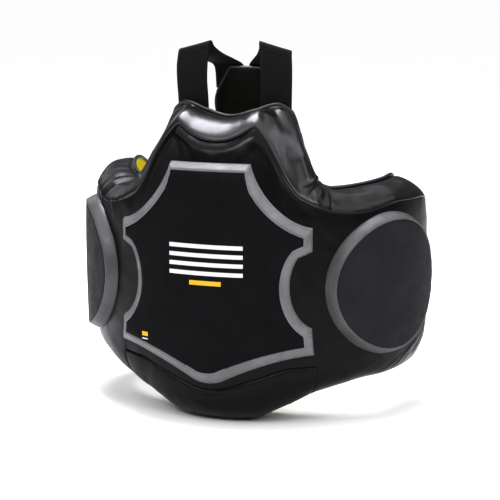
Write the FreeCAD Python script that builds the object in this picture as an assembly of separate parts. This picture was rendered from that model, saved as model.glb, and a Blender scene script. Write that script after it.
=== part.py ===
import FreeCAD, Part
import math
import os

from FreeCAD import Vector

# A coach's body protector for boxing and martial arts: a C-shaped foam shell that wraps the
# torso, with a raised belly shield, two round side targets and a shoulder harness.
#
# Frame: +Z up, the wearer faces -Y, +X is to the right of someone who looks at the shield.
# The origin is on the floor, under the middle of the object. Millimetres.
#
# The shell wraps a vertical axis. A place on it is an angle from the front (positive towards
# +X), a radius from the wrap axis and a height above the floor.

# ---------------------------------------------------------------- driving dimensions
WRAP_Y = 90.0                   # the wrap axis stands this far behind the origin
COVER_HALF_WIDTH = 273.0        # outer cover, an ellipse in plan
COVER_HALF_DEPTH = 235.0
LINING_HALF_WIDTH = 214.0       # inner lining, an ellipse in plan
LINING_HALF_DEPTH = 141.0
PAD_STAND = 16.0                # shield and targets stand this far off the cover
LEAN_START = 310.0              # above this height the front leans back towards the neck
LEAN_HEIGHT = 140.0
LEAN_DEPTH = 24.0

SKIN = 1.5                      # synthetic leather with its backing
LINING = 3.0                    # padded lining
BEAD_RADIUS = 2.5               # piping along the rear edges
BEAD_EASE = 0.1
EASE = 1.0                      # gap between a sewn-on pad and the cover under it
SEWN_EASE = 0.3                 # gap between a strap and the back pad it is sewn to
FLOOR_PRESS = 0.3               # the bottom roll is flattened this much where it stands
COVER_SHARES = (0.35, 0.6, 0.72, 0.82, 0.91, 1.0)   # heights of the cover's cross lines

FRONT_END = 39.5                # angle of the flex line between the front and a wing
SPLIT_EASE = 0.08               # half the gap at the flex line, in degrees
WING_END = 106.0                # angle of the wing's rear end
CORNER_SPAN = 12.0              # angle over which a wing's rear corners round off
CORNER_DROP = 58.0
CORNER_THIN = 12.0

# Edge lines of the shell: (angle from the front, height above the floor).
TOP_SEAM = [(0, 432), (9, 437), (17, 454), (21, 437), (25, 407), (29, 370), (34, 345),
            (45, 329), (55, 325), (72, 336), (90, 332), (106, 318)]
REAR_TOP = [(0, 459), (16, 468), (29, 478), (36, 469), (41, 434), (45, 394), (50, 360),
            (57, 352), (80, 358), (95, 363), (106, 356)]
LOW_LINE = [(0, -FLOOR_PRESS), (12, -FLOOR_PRESS), (31, 23), (44, 41), (60, 51), (90, 57),
            (106, 72)]
BOTTOM_SEAM = [(0, 54), (16, 72), (31, 92), (40, 94), (60, 112), (106, 130)]

GUSSET_BULGE = 0.28             # fullness of the top gusset, as a share of its width
LOW_SPOT = 0.42                 # lowest line of the shell, as a share of its thickness
REAR_LIFT = 14.0                # the lining's lower edge above the lowest line

SHIELD_TOP = 399.0
SHIELD_CORNER = 15.7            # angles of the shield's corners
SHIELD_PRONG = 37.1
SHIELD_TIP = 37.9
SHIELD_WAIST = 29.4
SHIELD_BAND = 17.0              # width of the binding round the shield
SHIELD_APEX = 67.0

TARGET_ANGLE = 65.0
TARGET_HEIGHT = 213.0
TARGET_HALF_WIDTH = 103.0       # a round disc, bent onto the wrap
TARGET_HALF_HEIGHT = 106.5
TARGET_BAND = 16.0
SHIELD_REACH = 39.0             # angles of the layers that the pads are cut from
TARGET_REACH = (40.5, 90.0)
PAD_MARGIN = 6.0                # the layers reach this far past a pad's lowest and highest point

STRAP_WIDTH = 50.0
STRAP_THICK = 3.2
STRAP_X = 67.0
STRAP_Y = -121.0                # from the wrap axis
STRAP_FOOT = 490.0              # flex line where a strap leaves the neck
STRAP_CREST = 569.0             # flex line where a strap turns down to the back pad
SEWN_LENGTH = 46.0
FLEX_GAP = 2.0                  # webbing left free on each side of a flex line
PATCH_TOP = 448.0               # patch behind a sewn end
PATCH_DEPTH = 26.0
PATCH_MARGIN = 3.0
CREST_GAP = 0.6

PAD_Y = -74.0                   # back pad, from the wrap axis
PAD_RADIUS = 49.5
PAD_CENTRE = 475.0
PAD_TOP = 531.0
PAD_TOP_WIDTH = 52.0
PAD_SHOULDER = 25.0             # angle above level where its taper starts
PAD_FOAM = 8.0

SIDE_STRAP_X = 27.0
SIDE_STRAP_FOOT = 419.0
SIDE_STRAP_END = 128.0
SIDE_STRAP_THICK = 2.6
TAPE_THICK = 1.2                # hook-and-loop tape
TAPE_MARGIN = 2.0
HOOK_LENGTH = 60.0
LOOP_LENGTH = 140.0

RING_ANGLE = 99.0               # strap ring on each wing
RING_HEIGHT = 213.0
RING_OPENING = 52.0
RING_REACH = 26.0
RING_WIRE = 5.0
RING_PIN = 2.4
LOOP_INNER = 2.9
LOOP_OUTER = 4.3
RING_OFF_LINING = 7.5
TAB_LENGTH = 42.0
TAB_THICK = 2.0

HUB_HEIGHT = 210.0              # sewn-on pads are cut on lines towards this height on the axis
CUT_PLANE = 250.0               # plane where their outlines are laid out, in front of the axis


# ---------------------------------------------------------------- plan and profile
def ellipse_radius(angle, half_width, half_depth):
    a = math.radians(angle)
    return 1.0 / math.hypot(math.sin(a) / half_width, math.cos(a) / half_depth)


def spot(angle, radius, height):
    a = math.radians(angle)
    return Vector(radius * math.sin(a), WRAP_Y - radius * math.cos(a), height)


def height_at(line, angle):
    """Height of an edge line, straight between its stations."""
    a = abs(angle)
    for (a0, h0), (a1, h1) in zip(line, line[1:]):
        if a <= a1:
            return h0 + (h1 - h0) * (a - a0) / (a1 - a0)
    return line[-1][1]


def corner_round(angle):
    """0 along a wing, rising to 1 as a quarter circle at its rear end."""
    u = (abs(angle) - (WING_END - CORNER_SPAN)) / CORNER_SPAN
    u = min(max(u, 0.0), 1.0)
    return 1.0 - math.sqrt(1.0 - u * u)


def lining_radius(angle):
    radius = ellipse_radius(angle, LINING_HALF_WIDTH, LINING_HALF_DEPTH)
    return radius + 0.5 * CORNER_THIN * corner_round(angle)


def cover_radius(angle, height):
    radius = ellipse_radius(angle, COVER_HALF_WIDTH, COVER_HALF_DEPTH)
    above = max(height - LEAN_START, 0.0)
    return radius - CORNER_THIN * corner_round(angle) - LEAN_DEPTH * (above / LEAN_HEIGHT) ** 2


def edges(angle):
    """Heights of the lowest line, bottom seam, top seam and rear top edge."""
    drop = CORNER_DROP * corner_round(angle)
    low = height_at(LOW_LINE, angle) + drop
    bottom = height_at(BOTTOM_SEAM, angle) + drop
    seam = height_at(TOP_SEAM, angle) - drop
    top = height_at(REAR_TOP, angle) - drop
    return low, bottom, seam, top


def outer_path(angle):
    """Section of the shell's outside, from the lining's lower edge round to its upper edge."""
    low, bottom, seam, top = edges(angle)
    inner = lining_radius(angle) + LINING
    outer = cover_radius(angle, bottom)
    thick = outer - inner
    lowest = inner + LOW_SPOT * thick
    path = [(inner, low + REAR_LIFT), (inner + 0.15 * thick, low), (lowest, low)]
    for turn in (30.0, 60.0, 90.0):
        t = math.radians(turn)
        radius = lowest + (outer - lowest) * math.sin(t)
        path.append((radius, bottom - (bottom - low) * math.cos(t)))
    for share in COVER_SHARES:
        height = bottom + share * (seam - bottom)
        path.append((cover_radius(angle, height), height))
    seam_radius = cover_radius(angle, seam)
    across = seam_radius - inner
    rise = top - seam
    full = GUSSET_BULGE * across / math.hypot(across, rise)
    bulge = (inner + 0.5 * across + full * rise, seam + 0.5 * rise + full * across)
    for t in (0.3, 0.6, 1.0):
        weights = ((1 - t) ** 2, 2 * t * (1 - t), t * t)
        points = ((seam_radius, seam), bulge, (inner, top))
        path.append(tuple(sum(w * p[i] for w, p in zip(weights, points)) for i in (0, 1)))
    return path


# Places in the path: the bottom seam, the top seam, its end, and where the two foams meet.
FIRST_SEAM = 5
SECOND_SEAM = FIRST_SEAM + len(COVER_SHARES)
PATH_END = SECOND_SEAM + 3
FOAM_LOW = 2
FOAM_HIGH = PATH_END - 1


def inset(path, depth):
    """The path moved inwards by depth, with its two ends kept on the lining's radius."""
    moved = []
    last = len(path) - 1
    for i, (r, z) in enumerate(path):
        r0, z0 = path[max(i - 1, 0)]
        r1, z1 = path[min(i + 1, last)]
        length = math.hypot(r1 - r0, z1 - z0)
        moved.append((r - depth * (z1 - z0) / length, z + depth * (r1 - r0) / length))
    ends = path[0][0]
    moved[0] = (ends, path[0][1] + depth)
    moved[last] = (ends, path[last][1] - depth)
    return moved


# ---------------------------------------------------------------- solids along the wrap
def wrapped(section, stations):
    """Solid through the closed (radius, height) sections at the given angles."""
    wires = []
    for angle in stations:
        points = [spot(angle, r, z) for r, z in section(angle)]
        wires.append(Part.makePolygon(points + points[:1]))
    return Part.makeLoft(wires, True, True)


def strip(first, last):
    """Section of the skin between two places in the outer path."""
    def section(angle):
        path = outer_path(angle)
        under = inset(path, SKIN)
        return path[first:last + 1] + under[first:last + 1][::-1]
    return section


def outer_foam_section(angle):
    return inset(outer_path(angle), SKIN)[FOAM_LOW:FOAM_HIGH + 1]


def inner_foam_section(angle):
    core = inset(outer_path(angle), SKIN)
    return core[:FOAM_LOW + 1] + core[FOAM_HIGH:]


def lining_section(angle):
    low, _, _, top = edges(angle)
    inner = lining_radius(angle)
    foot = low + REAR_LIFT
    return [(inner, foot), (inner + LINING, foot), (inner + LINING, top), (inner, top)]


def bead(top_edge):
    """Section of the piping along the lining's top or bottom edge."""
    def section(angle):
        low, _, _, top = edges(angle)
        off_edge = BEAD_RADIUS + BEAD_EASE
        centre = top + off_edge if top_edge else low + REAR_LIFT - off_edge
        middle = lining_radius(angle) + 2 * BEAD_EASE
        ring = []
        for step in range(8):
            a = math.radians(45.0 * step + 22.5)
            ring.append((middle + BEAD_RADIUS * math.cos(a), centre + BEAD_RADIUS * math.sin(a)))
        return ring
    return section


def stations(first, last, count):
    return [first + (last - first) * i / count for i in range(count + 1)]


FRONT_EDGE = FRONT_END - SPLIT_EASE
WING_EDGE = FRONT_END + SPLIT_EASE
FRONT_STATIONS = [s * a for s in (-1, 1) for a in (6, 12, 17, 21, 25, 29, 34, FRONT_EDGE)] + [0]
FRONT_STATIONS.sort()
ROUND_STATIONS = [WING_END - CORNER_SPAN * (1 - u) for u in (0.5, 0.8, 0.94, 1.0)]
WING_STATIONS = [WING_EDGE, 45, 50, 57, 64, 72, 80, 88, WING_END - CORNER_SPAN] + ROUND_STATIONS


# ---------------------------------------------------------------- sewn-on pads
def laid_out(angle, height, radius):
    """Point of the wrap seen from the hub, laid out on the cut plane as (x, z)."""
    a = math.radians(angle)
    scale = CUT_PLANE / (radius * math.cos(a))
    return Vector(CUT_PLANE * math.tan(a), 0, HUB_HEIGHT + (height - HUB_HEIGHT) * scale)


def face_spot(angle, height):
    return laid_out(angle, height, cover_radius(angle, height) + PAD_STAND)


def mirrored(point):
    return Vector(-point.x, point.y, point.z)


def shield_outline():
    """Belly shield: a shallow neck, two prongs a side with a waist between, a pointed foot."""
    top = face_spot(SHIELD_CORNER, SHIELD_TOP)
    neck = face_spot(25.0, 334.0)
    prong_top = face_spot(SHIELD_PRONG, 306.0)
    prong_end = face_spot(SHIELD_PRONG, 271.0)
    waist_top = face_spot(32.2, 262.0)
    waist = face_spot(SHIELD_WAIST, 210.0)
    tip_top = face_spot(SHIELD_PRONG, 155.0)
    tip_end = face_spot(SHIELD_TIP, 114.0)
    foot = face_spot(20.0, 98.0)
    apex = face_spot(0.0, SHIELD_APEX)
    foot_side = face_spot(5.0, 70.5)
    right = [(top, neck, prong_top), (prong_top, prong_end), (prong_end, waist_top),
             (waist_top, waist, tip_top), (tip_top, tip_end), (tip_end, foot, foot_side)]
    left = [tuple(mirrored(point) for point in reversed(run)) for run in reversed(right)]
    runs = right + [(foot_side, apex, mirrored(foot_side))] + left + [(mirrored(top), top)]
    return Part.Wire([curve_through(run) for run in runs])


def curve_through(points):
    """Straight edge through two points, or an arc through three."""
    kind = Part.Arc if len(points) == 3 else Part.LineSegment
    return kind(*points).toShape()


def hub_cutter(outline):
    """Solid of the lines from the hub through an outline on the cut plane."""
    near = outline.copy()
    far = outline.copy()
    hub = Vector(0, 0, HUB_HEIGHT)
    near.scale(0.6, hub)
    far.scale(1.2, hub)
    near.translate(Vector(0, WRAP_Y - 0.6 * CUT_PLANE, 0))
    far.translate(Vector(0, WRAP_Y - 1.2 * CUT_PLANE, 0))
    return Part.makeLoft([near, far], True, True)


def target_cutter(shrink):
    """Elliptic cylinder on the target's own axis, square to the wrap."""
    ellipse = Part.Ellipse(Vector(0, 0, 0), TARGET_HALF_HEIGHT - shrink, TARGET_HALF_WIDTH - shrink)
    disc = Part.Face(Part.Wire(ellipse.toShape()))
    # The long axis stands upright and the disc's normal points along the target's axis.
    disc.rotate(Vector(0, 0, 0), Vector(0, 1, 0), -90)
    disc.rotate(Vector(0, 0, 0), Vector(0, 0, 1), TARGET_ANGLE - 90)
    disc.translate(spot(TARGET_ANGLE, 180.0, TARGET_HEIGHT))
    a = math.radians(TARGET_ANGLE)
    return disc.extrude(Vector(math.sin(a), -math.cos(a), 0) * 140.0)


def layer(bottom, top, low, high):
    """Section of a layer that follows the cover, between two stand-offs and two heights."""
    def section(angle):
        heights = [low + (high - low) * share for share in (0.0,) + COVER_SHARES]
        outside = [(cover_radius(angle, z) + top, z) for z in heights]
        inside = [(cover_radius(angle, z) + bottom, z) for z in heights]
        return inside + outside[::-1]
    return section


def sewn_pad(cutter, band_cutter, core_cutter, section_low, section_high, angles):
    """Foam, face and binding of a raised pad."""
    face_floor = PAD_STAND - SKIN
    whole = wrapped(layer(EASE, PAD_STAND, section_low, section_high), angles)
    below = wrapped(layer(EASE, face_floor, section_low, section_high), angles)
    above = wrapped(layer(face_floor, PAD_STAND, section_low, section_high), angles)
    foam = below.common(core_cutter)
    face = above.common(band_cutter)
    binding = whole.common(cutter).cut(foam).cut(face)
    return foam, face, binding


def shield_parts():
    outline = shield_outline()
    core = outline.makeOffset2D(-SKIN, 2)
    inner = outline.makeOffset2D(-SHIELD_BAND, 2)
    angles = stations(-SHIELD_REACH, SHIELD_REACH, 16)
    cutters = [hub_cutter(shape) for shape in (outline, inner, core)]
    return sewn_pad(*cutters, SHIELD_APEX - PAD_MARGIN, SHIELD_TOP + PAD_MARGIN, angles)


def target_parts():
    angles = stations(*TARGET_REACH, 9)
    cutters = [target_cutter(shrink) for shrink in (0.0, TARGET_BAND, SKIN)]
    low = TARGET_HEIGHT - TARGET_HALF_HEIGHT - PAD_MARGIN
    high = TARGET_HEIGHT + TARGET_HALF_HEIGHT + PAD_MARGIN
    return sewn_pad(*cutters, low, high, angles)


# ---------------------------------------------------------------- harness
def block(x0, x1, y0, y1, z0, z1):
    """Box with Y measured from the wrap axis."""
    return Part.makeBox(x1 - x0, y1 - y0, z1 - z0, Vector(x0, WRAP_Y + y0, z0))


def strap_span(x):
    return x - STRAP_WIDTH / 2, x + STRAP_WIDTH / 2


def strap_anchor():
    """Sewn end of the right strap, inside the neck."""
    x0, x1 = strap_span(STRAP_X)
    half = STRAP_THICK / 2
    top = STRAP_FOOT - FLEX_GAP
    return block(x0, x1, STRAP_Y - half, STRAP_Y + half, top - SEWN_LENGTH, top)


def anchor_patch():
    """Padded patch that fills the hollow between the curved lining and the flat strap."""
    x0, x1 = strap_span(STRAP_X)
    back = STRAP_Y - STRAP_THICK / 2 - BEAD_EASE
    bottom = STRAP_FOOT - FLEX_GAP - SEWN_LENGTH - PATCH_MARGIN
    patch = block(x0 - PATCH_MARGIN, x1 + PATCH_MARGIN, back - PATCH_DEPTH, back, bottom, PATCH_TOP)
    plan = Part.Ellipse(Vector(0, WRAP_Y, 0), LINING_HALF_WIDTH - 1.0, LINING_HALF_DEPTH - 1.0)
    inside = Part.Face(Part.Wire(plan.toShape())).extrude(Vector(0, 0, STRAP_CREST))
    return patch.common(inside)


def front_strap():
    """Free run of the right strap in front, from the neck to the crest."""
    x0, x1 = strap_span(STRAP_X)
    half = STRAP_THICK / 2
    return block(x0, x1, STRAP_Y - half, STRAP_Y + half, STRAP_FOOT + FLEX_GAP,
                 STRAP_CREST - CREST_GAP)


def strap_rung(x, y, z, slope):
    """Cross-section of the rear run: a rectangle across a strap that runs down at slope."""
    s = math.radians(slope)
    across = Vector(STRAP_WIDTH / 2, 0, 0)
    outwards = Vector(0, math.cos(s), math.sin(s)) * STRAP_THICK
    start = Vector(x, WRAP_Y + y, z)
    points = [start - across, start + across, start + across + outwards, start - across + outwards]
    return Part.makePolygon(points + points[:1])


def rear_strap():
    """Rear run of the right strap, from the crest down and inwards to the back pad."""
    crest_y = STRAP_Y + STRAP_THICK / 2 + CREST_GAP
    pad_face = PAD_Y + PAD_FOAM / 2 + SKIN + SEWN_EASE
    rungs = [strap_rung(STRAP_X, crest_y, STRAP_CREST, 10.0),
             strap_rung(STRAP_X - 8, crest_y + 10, STRAP_CREST - 12, 35.0),
             strap_rung(PAD_TOP_WIDTH / 2 + 2, pad_face, PAD_TOP + 3, 0.0),
             strap_rung(PAD_TOP_WIDTH / 2, pad_face, PAD_TOP - 34, 0.0)]
    return Part.makeLoft(rungs, True, True)


def pad_outline(shrink):
    """Back pad seen from behind: a disc that tapers to a flat top."""
    radius = PAD_RADIUS - shrink
    half_top = PAD_TOP_WIDTH / 2 - shrink
    top = PAD_TOP - shrink
    shoulder = math.radians(PAD_SHOULDER)
    side_x = radius * math.cos(shoulder)
    side_z = PAD_CENTRE + radius * math.sin(shoulder)
    right = Vector(side_x, 0, side_z)
    left = Vector(-side_x, 0, side_z)
    top_right = Vector(half_top, 0, top)
    top_left = Vector(-half_top, 0, top)
    runs = [(left, Vector(0, 0, PAD_CENTRE - radius), right), (right, top_right),
            (top_right, top_left), (top_left, left)]
    return Part.Wire([curve_through(run) for run in runs])


def pad_slab(shrink, y0, y1):
    face = Part.Face(pad_outline(shrink))
    face.translate(Vector(0, WRAP_Y + y0, 0))
    return face.extrude(Vector(0, y1 - y0, 0))


def side_strap_run(z0, z1, tape=False):
    """Stretch of the right side strap, or of the hook-and-loop tape on its rear face."""
    front = PAD_Y + PAD_FOAM / 2 + SKIN + SEWN_EASE
    back = front + SIDE_STRAP_THICK
    half = STRAP_WIDTH / 2
    if tape:
        front, back, half = back, back + TAPE_THICK, half - TAPE_MARGIN
    return block(SIDE_STRAP_X - half, SIDE_STRAP_X + half, front, back, z0, z1)


# ---------------------------------------------------------------- strap rings
def ring_frame(shape):
    """Place a shape made with its pin on the Z axis and its reach along +Y at the right ring."""
    placed = shape.copy()
    placed.rotate(Vector(0, 0, 0), Vector(0, 0, 1), RING_ANGLE - 90)
    placed.translate(ring_pin_spot())
    return placed


def ring_pin_spot():
    return spot(RING_ANGLE, lining_radius(RING_ANGLE) - RING_OFF_LINING, RING_HEIGHT)


def strap_ring():
    half = RING_WIRE / 2
    tall = RING_OPENING / 2 + RING_WIRE
    pin = Part.makeCylinder(RING_PIN, 2 * tall, Vector(0, 0, -tall))
    frame = Part.makeBox(RING_WIRE, RING_REACH + 2 * half, 2 * tall, Vector(-half, -half, -tall))
    window = Part.makeBox(2 * RING_WIRE, RING_REACH + RING_WIRE - half, RING_OPENING,
                          Vector(-RING_WIRE, -RING_WIRE, -RING_OPENING / 2))
    ring = frame.cut(window).fuse(pin).removeSplitter()
    return ring_frame(ring)


def ring_tab():
    """Webbing tab that is sewn to the lining and loops round the ring's pin."""
    half = (RING_OPENING - 3.0) / 2
    loop = Part.makeCylinder(LOOP_OUTER, 2 * half, Vector(0, 0, -half))
    corner = Vector(LOOP_OUTER - TAB_THICK, -TAB_LENGTH, -half)
    tail = Part.makeBox(TAB_THICK, TAB_LENGTH, 2 * half, corner)
    hole = Part.makeCylinder(LOOP_INNER, 2 * half, Vector(0, 0, -half))
    return ring_frame(loop.fuse(tail).cut(hole).removeSplitter())


# ---------------------------------------------------------------- the parts
def mirror(shape):
    return shape.mirror(Vector(0, 0, 0), Vector(1, 0, 0))


def front_body():
    foam, face, binding = shield_parts()
    return {
        "front_foam_outer": wrapped(outer_foam_section, FRONT_STATIONS),
        "front_foam_inner": wrapped(inner_foam_section, FRONT_STATIONS),
        "front_cover": wrapped(strip(FIRST_SEAM, SECOND_SEAM), FRONT_STATIONS),
        "neck_gusset": wrapped(strip(SECOND_SEAM, PATH_END), FRONT_STATIONS),
        "bottom_gusset": wrapped(strip(0, FIRST_SEAM), FRONT_STATIONS).cut(below_floor()),
        "front_lining": wrapped(lining_section, FRONT_STATIONS),
        "front_top_piping": wrapped(bead(True), FRONT_STATIONS),
        "front_bottom_piping": wrapped(bead(False), FRONT_STATIONS),
        "shield_foam": foam,
        "shield_face": face,
        "shield_binding": binding,
        "strap_anchors": both(strap_anchor()),
        "strap_patches": both(anchor_patch()),
    }


def below_floor():
    """Everything just under the floor, which flattens the roll that the protector stands on."""
    wide = COVER_HALF_WIDTH
    return block(-wide, wide, -wide, wide, -2 * FLOOR_PRESS, 0)


def both(shape):
    return Part.makeCompound([shape, mirror(shape)])


def right_wing():
    foam, face, binding = target_parts()
    return {
        "wing_foam_outer": wrapped(outer_foam_section, WING_STATIONS),
        "wing_foam_inner": wrapped(inner_foam_section, WING_STATIONS),
        "wing_cover": wrapped(strip(0, SECOND_SEAM), WING_STATIONS),
        "armhole_gusset": wrapped(strip(SECOND_SEAM, PATH_END), WING_STATIONS),
        "wing_lining": wrapped(lining_section, WING_STATIONS),
        "wing_top_piping": wrapped(bead(True), WING_STATIONS),
        "wing_bottom_piping": wrapped(bead(False), WING_STATIONS),
        "target_foam": foam,
        "target_face": face,
        "target_binding": binding,
        "ring_tab": ring_tab(),
        "strap_ring": strap_ring(),
    }


def harness():
    half = PAD_FOAM / 2
    edge = half + SKIN
    sewn = side_strap_run(SIDE_STRAP_FOOT + FLEX_GAP, SIDE_STRAP_FOOT + SEWN_LENGTH)
    webbing = side_strap_run(SIDE_STRAP_END, SIDE_STRAP_FOOT - FLEX_GAP)
    hook_foot = SIDE_STRAP_END + 2 * TAPE_MARGIN
    hook = side_strap_run(hook_foot, hook_foot + HOOK_LENGTH, tape=True)
    loop_foot = hook_foot + HOOK_LENGTH + 3 * TAPE_MARGIN
    loop = side_strap_run(loop_foot, loop_foot + LOOP_LENGTH, tape=True)
    core = pad_slab(SKIN, PAD_Y - 2 * edge, PAD_Y + 2 * edge)
    binding = pad_slab(0.0, PAD_Y - edge, PAD_Y + edge).cut(core)
    single = {
        "pad_foam": pad_slab(SKIN, PAD_Y - half, PAD_Y + half),
        "pad_back_cover": pad_slab(SKIN, PAD_Y + half, PAD_Y + half + SKIN),
        "pad_lining": pad_slab(SKIN, PAD_Y - half - SKIN, PAD_Y - half),
        "pad_binding": binding,
        "side_strap_ends": both(sewn),
    }
    paired = {
        "shoulder_strap_front": front_strap(),
        "shoulder_strap_rear": rear_strap(),
        "side_strap": webbing,
        "hook_patch": hook,
        "loop_patch": loop,
    }
    return single, paired


def main():
    os.makedirs("parts", exist_ok=True)
    single, paired = harness()
    parts = dict(front_body())
    parts.update(single)
    paired.update(right_wing())
    for name, shape in paired.items():
        parts["right_" + name] = shape
        parts["left_" + name] = mirror(shape)
    for name, shape in sorted(parts.items()):
        report = (name, shape.isValid(), len(shape.Solids), shape.Volume)
        print("%-28s valid %s  solids %d  volume %.0f mm3" % report)
        shape.exportStep("parts/%s.step" % name)


main()
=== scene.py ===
"""Looks of the coach's body protector: covers, gussets, lining, shield, targets and harness.

The shell wraps an upright axis. A place on it is an angle from the front in degrees (positive
towards +X), a radius from the axis and a height above the floor. Metres everywhere.
"""

import math

import bmesh
import bpy
import numpy as np
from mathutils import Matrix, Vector
from mathutils.geometry import delaunay_2d_cdt


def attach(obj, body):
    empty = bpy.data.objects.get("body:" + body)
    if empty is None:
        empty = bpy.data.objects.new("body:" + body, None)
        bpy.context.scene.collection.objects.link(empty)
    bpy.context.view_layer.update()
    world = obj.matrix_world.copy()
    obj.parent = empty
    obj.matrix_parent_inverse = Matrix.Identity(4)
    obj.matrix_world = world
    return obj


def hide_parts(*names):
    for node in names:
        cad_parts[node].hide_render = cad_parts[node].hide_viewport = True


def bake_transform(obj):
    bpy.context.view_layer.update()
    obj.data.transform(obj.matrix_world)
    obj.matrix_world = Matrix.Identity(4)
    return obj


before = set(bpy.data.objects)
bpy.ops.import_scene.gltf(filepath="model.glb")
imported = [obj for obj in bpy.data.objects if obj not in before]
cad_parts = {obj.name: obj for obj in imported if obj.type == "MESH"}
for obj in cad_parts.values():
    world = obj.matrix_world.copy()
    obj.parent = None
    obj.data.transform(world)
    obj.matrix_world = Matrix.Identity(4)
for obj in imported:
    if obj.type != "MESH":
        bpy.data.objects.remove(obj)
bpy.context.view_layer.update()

MM = 0.001

# ------------ driving dimensions
WRAP_Y = 90 * MM                           # the wrap axis, behind the origin
COVER_PLAN = (273 * MM, 235 * MM)          # half width and half depth of the cover, in plan
LINING_PLAN = (214 * MM, 141 * MM)
LINING_THICK = 3 * MM
# The chest leans back: from what height, over how much of it, and how far there.
LEAN_START, LEAN_HEIGHT, LEAN_DEPTH = 310 * MM, 140 * MM, 24 * MM
FLEX_ANGLE, BEND_ZONE = 39.5, 42 * MM      # where a wing starts to bend, and over what length
WING_END = 106.0
# The round corners of a wing's end: their span in degrees, and how far its edges and skins draw in.
CORNER_SPAN, CORNER_DROP, CORNER_THIN = 19.0, 66 * MM, 18 * MM
# The bottom roll: where across it and along its rows it is lowest, and how far its rear is lifted.
LOW_SPOT, LOW_SHARE, REAR_LIFT = 0.42, 0.32, 14 * MM
BEAD_RADIUS = 3.0 * MM
END_MIDDLE = 215 * MM                      # where the piping's two ends meet on a wing's end
PANEL_SEAM = (44.5, 48.5)                  # where the neck panel meets a wing's, foot and top
RIDGE = 7 * MM                             # edge along the neck's sides between two flat facets
PAD_STAND = 16 * MM                        # how far the shield stands off the cover

# Edge lines of the shell: (angle from the front, height in millimetres).
TOP_SEAM = [(0, 432), (5, 434), (10, 441), (17, 455), (21, 437), (25, 407), (29, 370), (34, 345),
            (45, 329), (55, 325), (72, 336), (90, 332), (106, 318)]
REAR_TOP = [(0, 459), (16, 468), (29, 478), (36, 468), (40.5, 434), (44, 394), (48.5, 361),
            (56, 351), (80, 358), (95, 363), (106, 356)]
LOW_LINE = [(0, 0), (12, 0), (31, 25), (44, 46), (60, 59), (90, 66), (106, 76)]
GUSSET_BULGE = [(0, 300), (18, 270), (27, 120), (40, 130), (55, 300), (106, 300)]  # thousandths
LEFT_RISE, LEFT_DIP = 11 * MM, 7 * MM      # the left wing's top sits higher than the right one's
BOTTOM_SEAM = [(0, 54), (16, 72), (31, 92), (40, 94), (60, 112), (106, 130)]

SHIELD_BAND = 17 * MM                      # the binding's nominal width; see band_scale
HUB_HEIGHT, CUT_PLANE = 210 * MM, 250 * MM  # the flat plane that the shield was drawn on
TARGET_ANGLE, TARGET_HEIGHT = 66.5, 213 * MM
TARGET_FOOT = (104 * MM, 109 * MM)         # half width and half height on the cover
TARGET_FACE = (95.5 * MM, 99.5 * MM)       # the same at the face's edge
LEFT_TARGET_BACK = 1.2                     # degrees that the left target sits further back

STRAP_WIDTH, STRAP_THICK, STRAP_Y = 50 * MM, 3 * MM, -31 * MM
STRAP_BEND = (472 * MM, 512 * MM)          # where the front run bends as the straps swing
CREST_FLEX, SIDE_FLEX = 569 * MM, 419 * MM  # heights at which the straps' joints turn
PAD_Y, PAD_RADIUS, PAD_CENTRE = 16 * MM, 49.5 * MM, 475 * MM
PAD_TOP, PAD_TOP_HALF, PAD_HALF_THICK = 531 * MM, 26 * MM, 5.5 * MM
SIDE_STRAP_X, SIDE_STRAP_TOP, SIDE_STRAP_END = 27 * MM, 465 * MM, 128 * MM
SIDE_STRAP_HANG, SIDE_STRAP_WAVE, SIDE_STRAP_THICK = 290 * MM, 1.2 * MM, 2.6 * MM
PATCH_SPAN = (40, 94)                      # the padded patch under a sewn strap end, across
HOOK_SPAN, LOOP_SPAN, TAPE_THICK = (132, 192), (198, 338), 1.3 * MM  # spans in millimetres
RING_ANGLE, RING_HEIGHT, RING_HALF = 99.0, 213 * MM, 28.5 * MM
RING_REACH, RING_WIRE, RING_BEND = 26 * MM, 5 * MM, 4 * MM
RING_PIN, RING_OFF = 2.4 * MM, 7.5 * MM    # the pin's radius, and its distance from the lining
TAB_LOOP, TAB_LENGTH, TAB_HALF, TAB_ANGLE = 3.65 * MM, 42 * MM, 22.5 * MM, 91
# The plain print, in millimetres: four bars, a gold bar and a small mark at the lower corner.
BARS, BAR_TOP, BAR_STEP, BAR_HALF = 4, 278, 13.5, (56, 3.3)
GOLD_BAR, GOLD_HALF = (1, 223), (24, 3.6)
MARK_SQUARE, SQUARE_HALF = (-99, 134), (5.5, 3.4)
MARK_LINE, LINE_HALF = (-99, 126.5), (5.5, 1.0)
# Depth and width of the grooves along the top, bottom and upright seams.
TOP_GROOVE, BOTTOM_GROOVE = (2.6 * MM, 1.2 * MM), (1.8 * MM, 1.3 * MM)
UPRIGHT_GROOVE = (1.4 * MM, 1.4 * MM)
STITCH, STITCH_GAP = 3.2 * MM, 1.3 * MM    # length of a stitch, and from one to the next
QUILT_PITCH, LINING_STEP, LINING_ROWS = 46 * MM, 0.6, 150  # LINING_STEP is in degrees
LAMP_COLOUR = (0.93, 0.93, 1.0)
CAMERA_PLACE, CAMERA_TURN, CAMERA_TILT = (0.8066, -2.1787, 0.6819), 20.0, 10.66
CAMERA_LENS, SENSOR_WIDTH = 108.0, 36.0    # in millimetres


# ------------ small helpers
def radians(angle):
    """Degrees to radians, for one angle or many."""
    return np.radians(np.asarray(angle, float))


def held(value):
    """The value, held between 0 and 1."""
    return np.clip(value, 0, 1)


def bell(x, width):
    """1 where x is 0, falling away over width."""
    return np.exp(-(x / width) ** 2)


def smooth_step(t):
    """0 to 1 with a level start and end."""
    return t * t * (3 - 2 * t)


def unit(vectors):
    """The same directions with length one."""
    return vectors / np.maximum(np.linalg.norm(vectors, axis=-1, keepdims=True), 1e-12)


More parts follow.
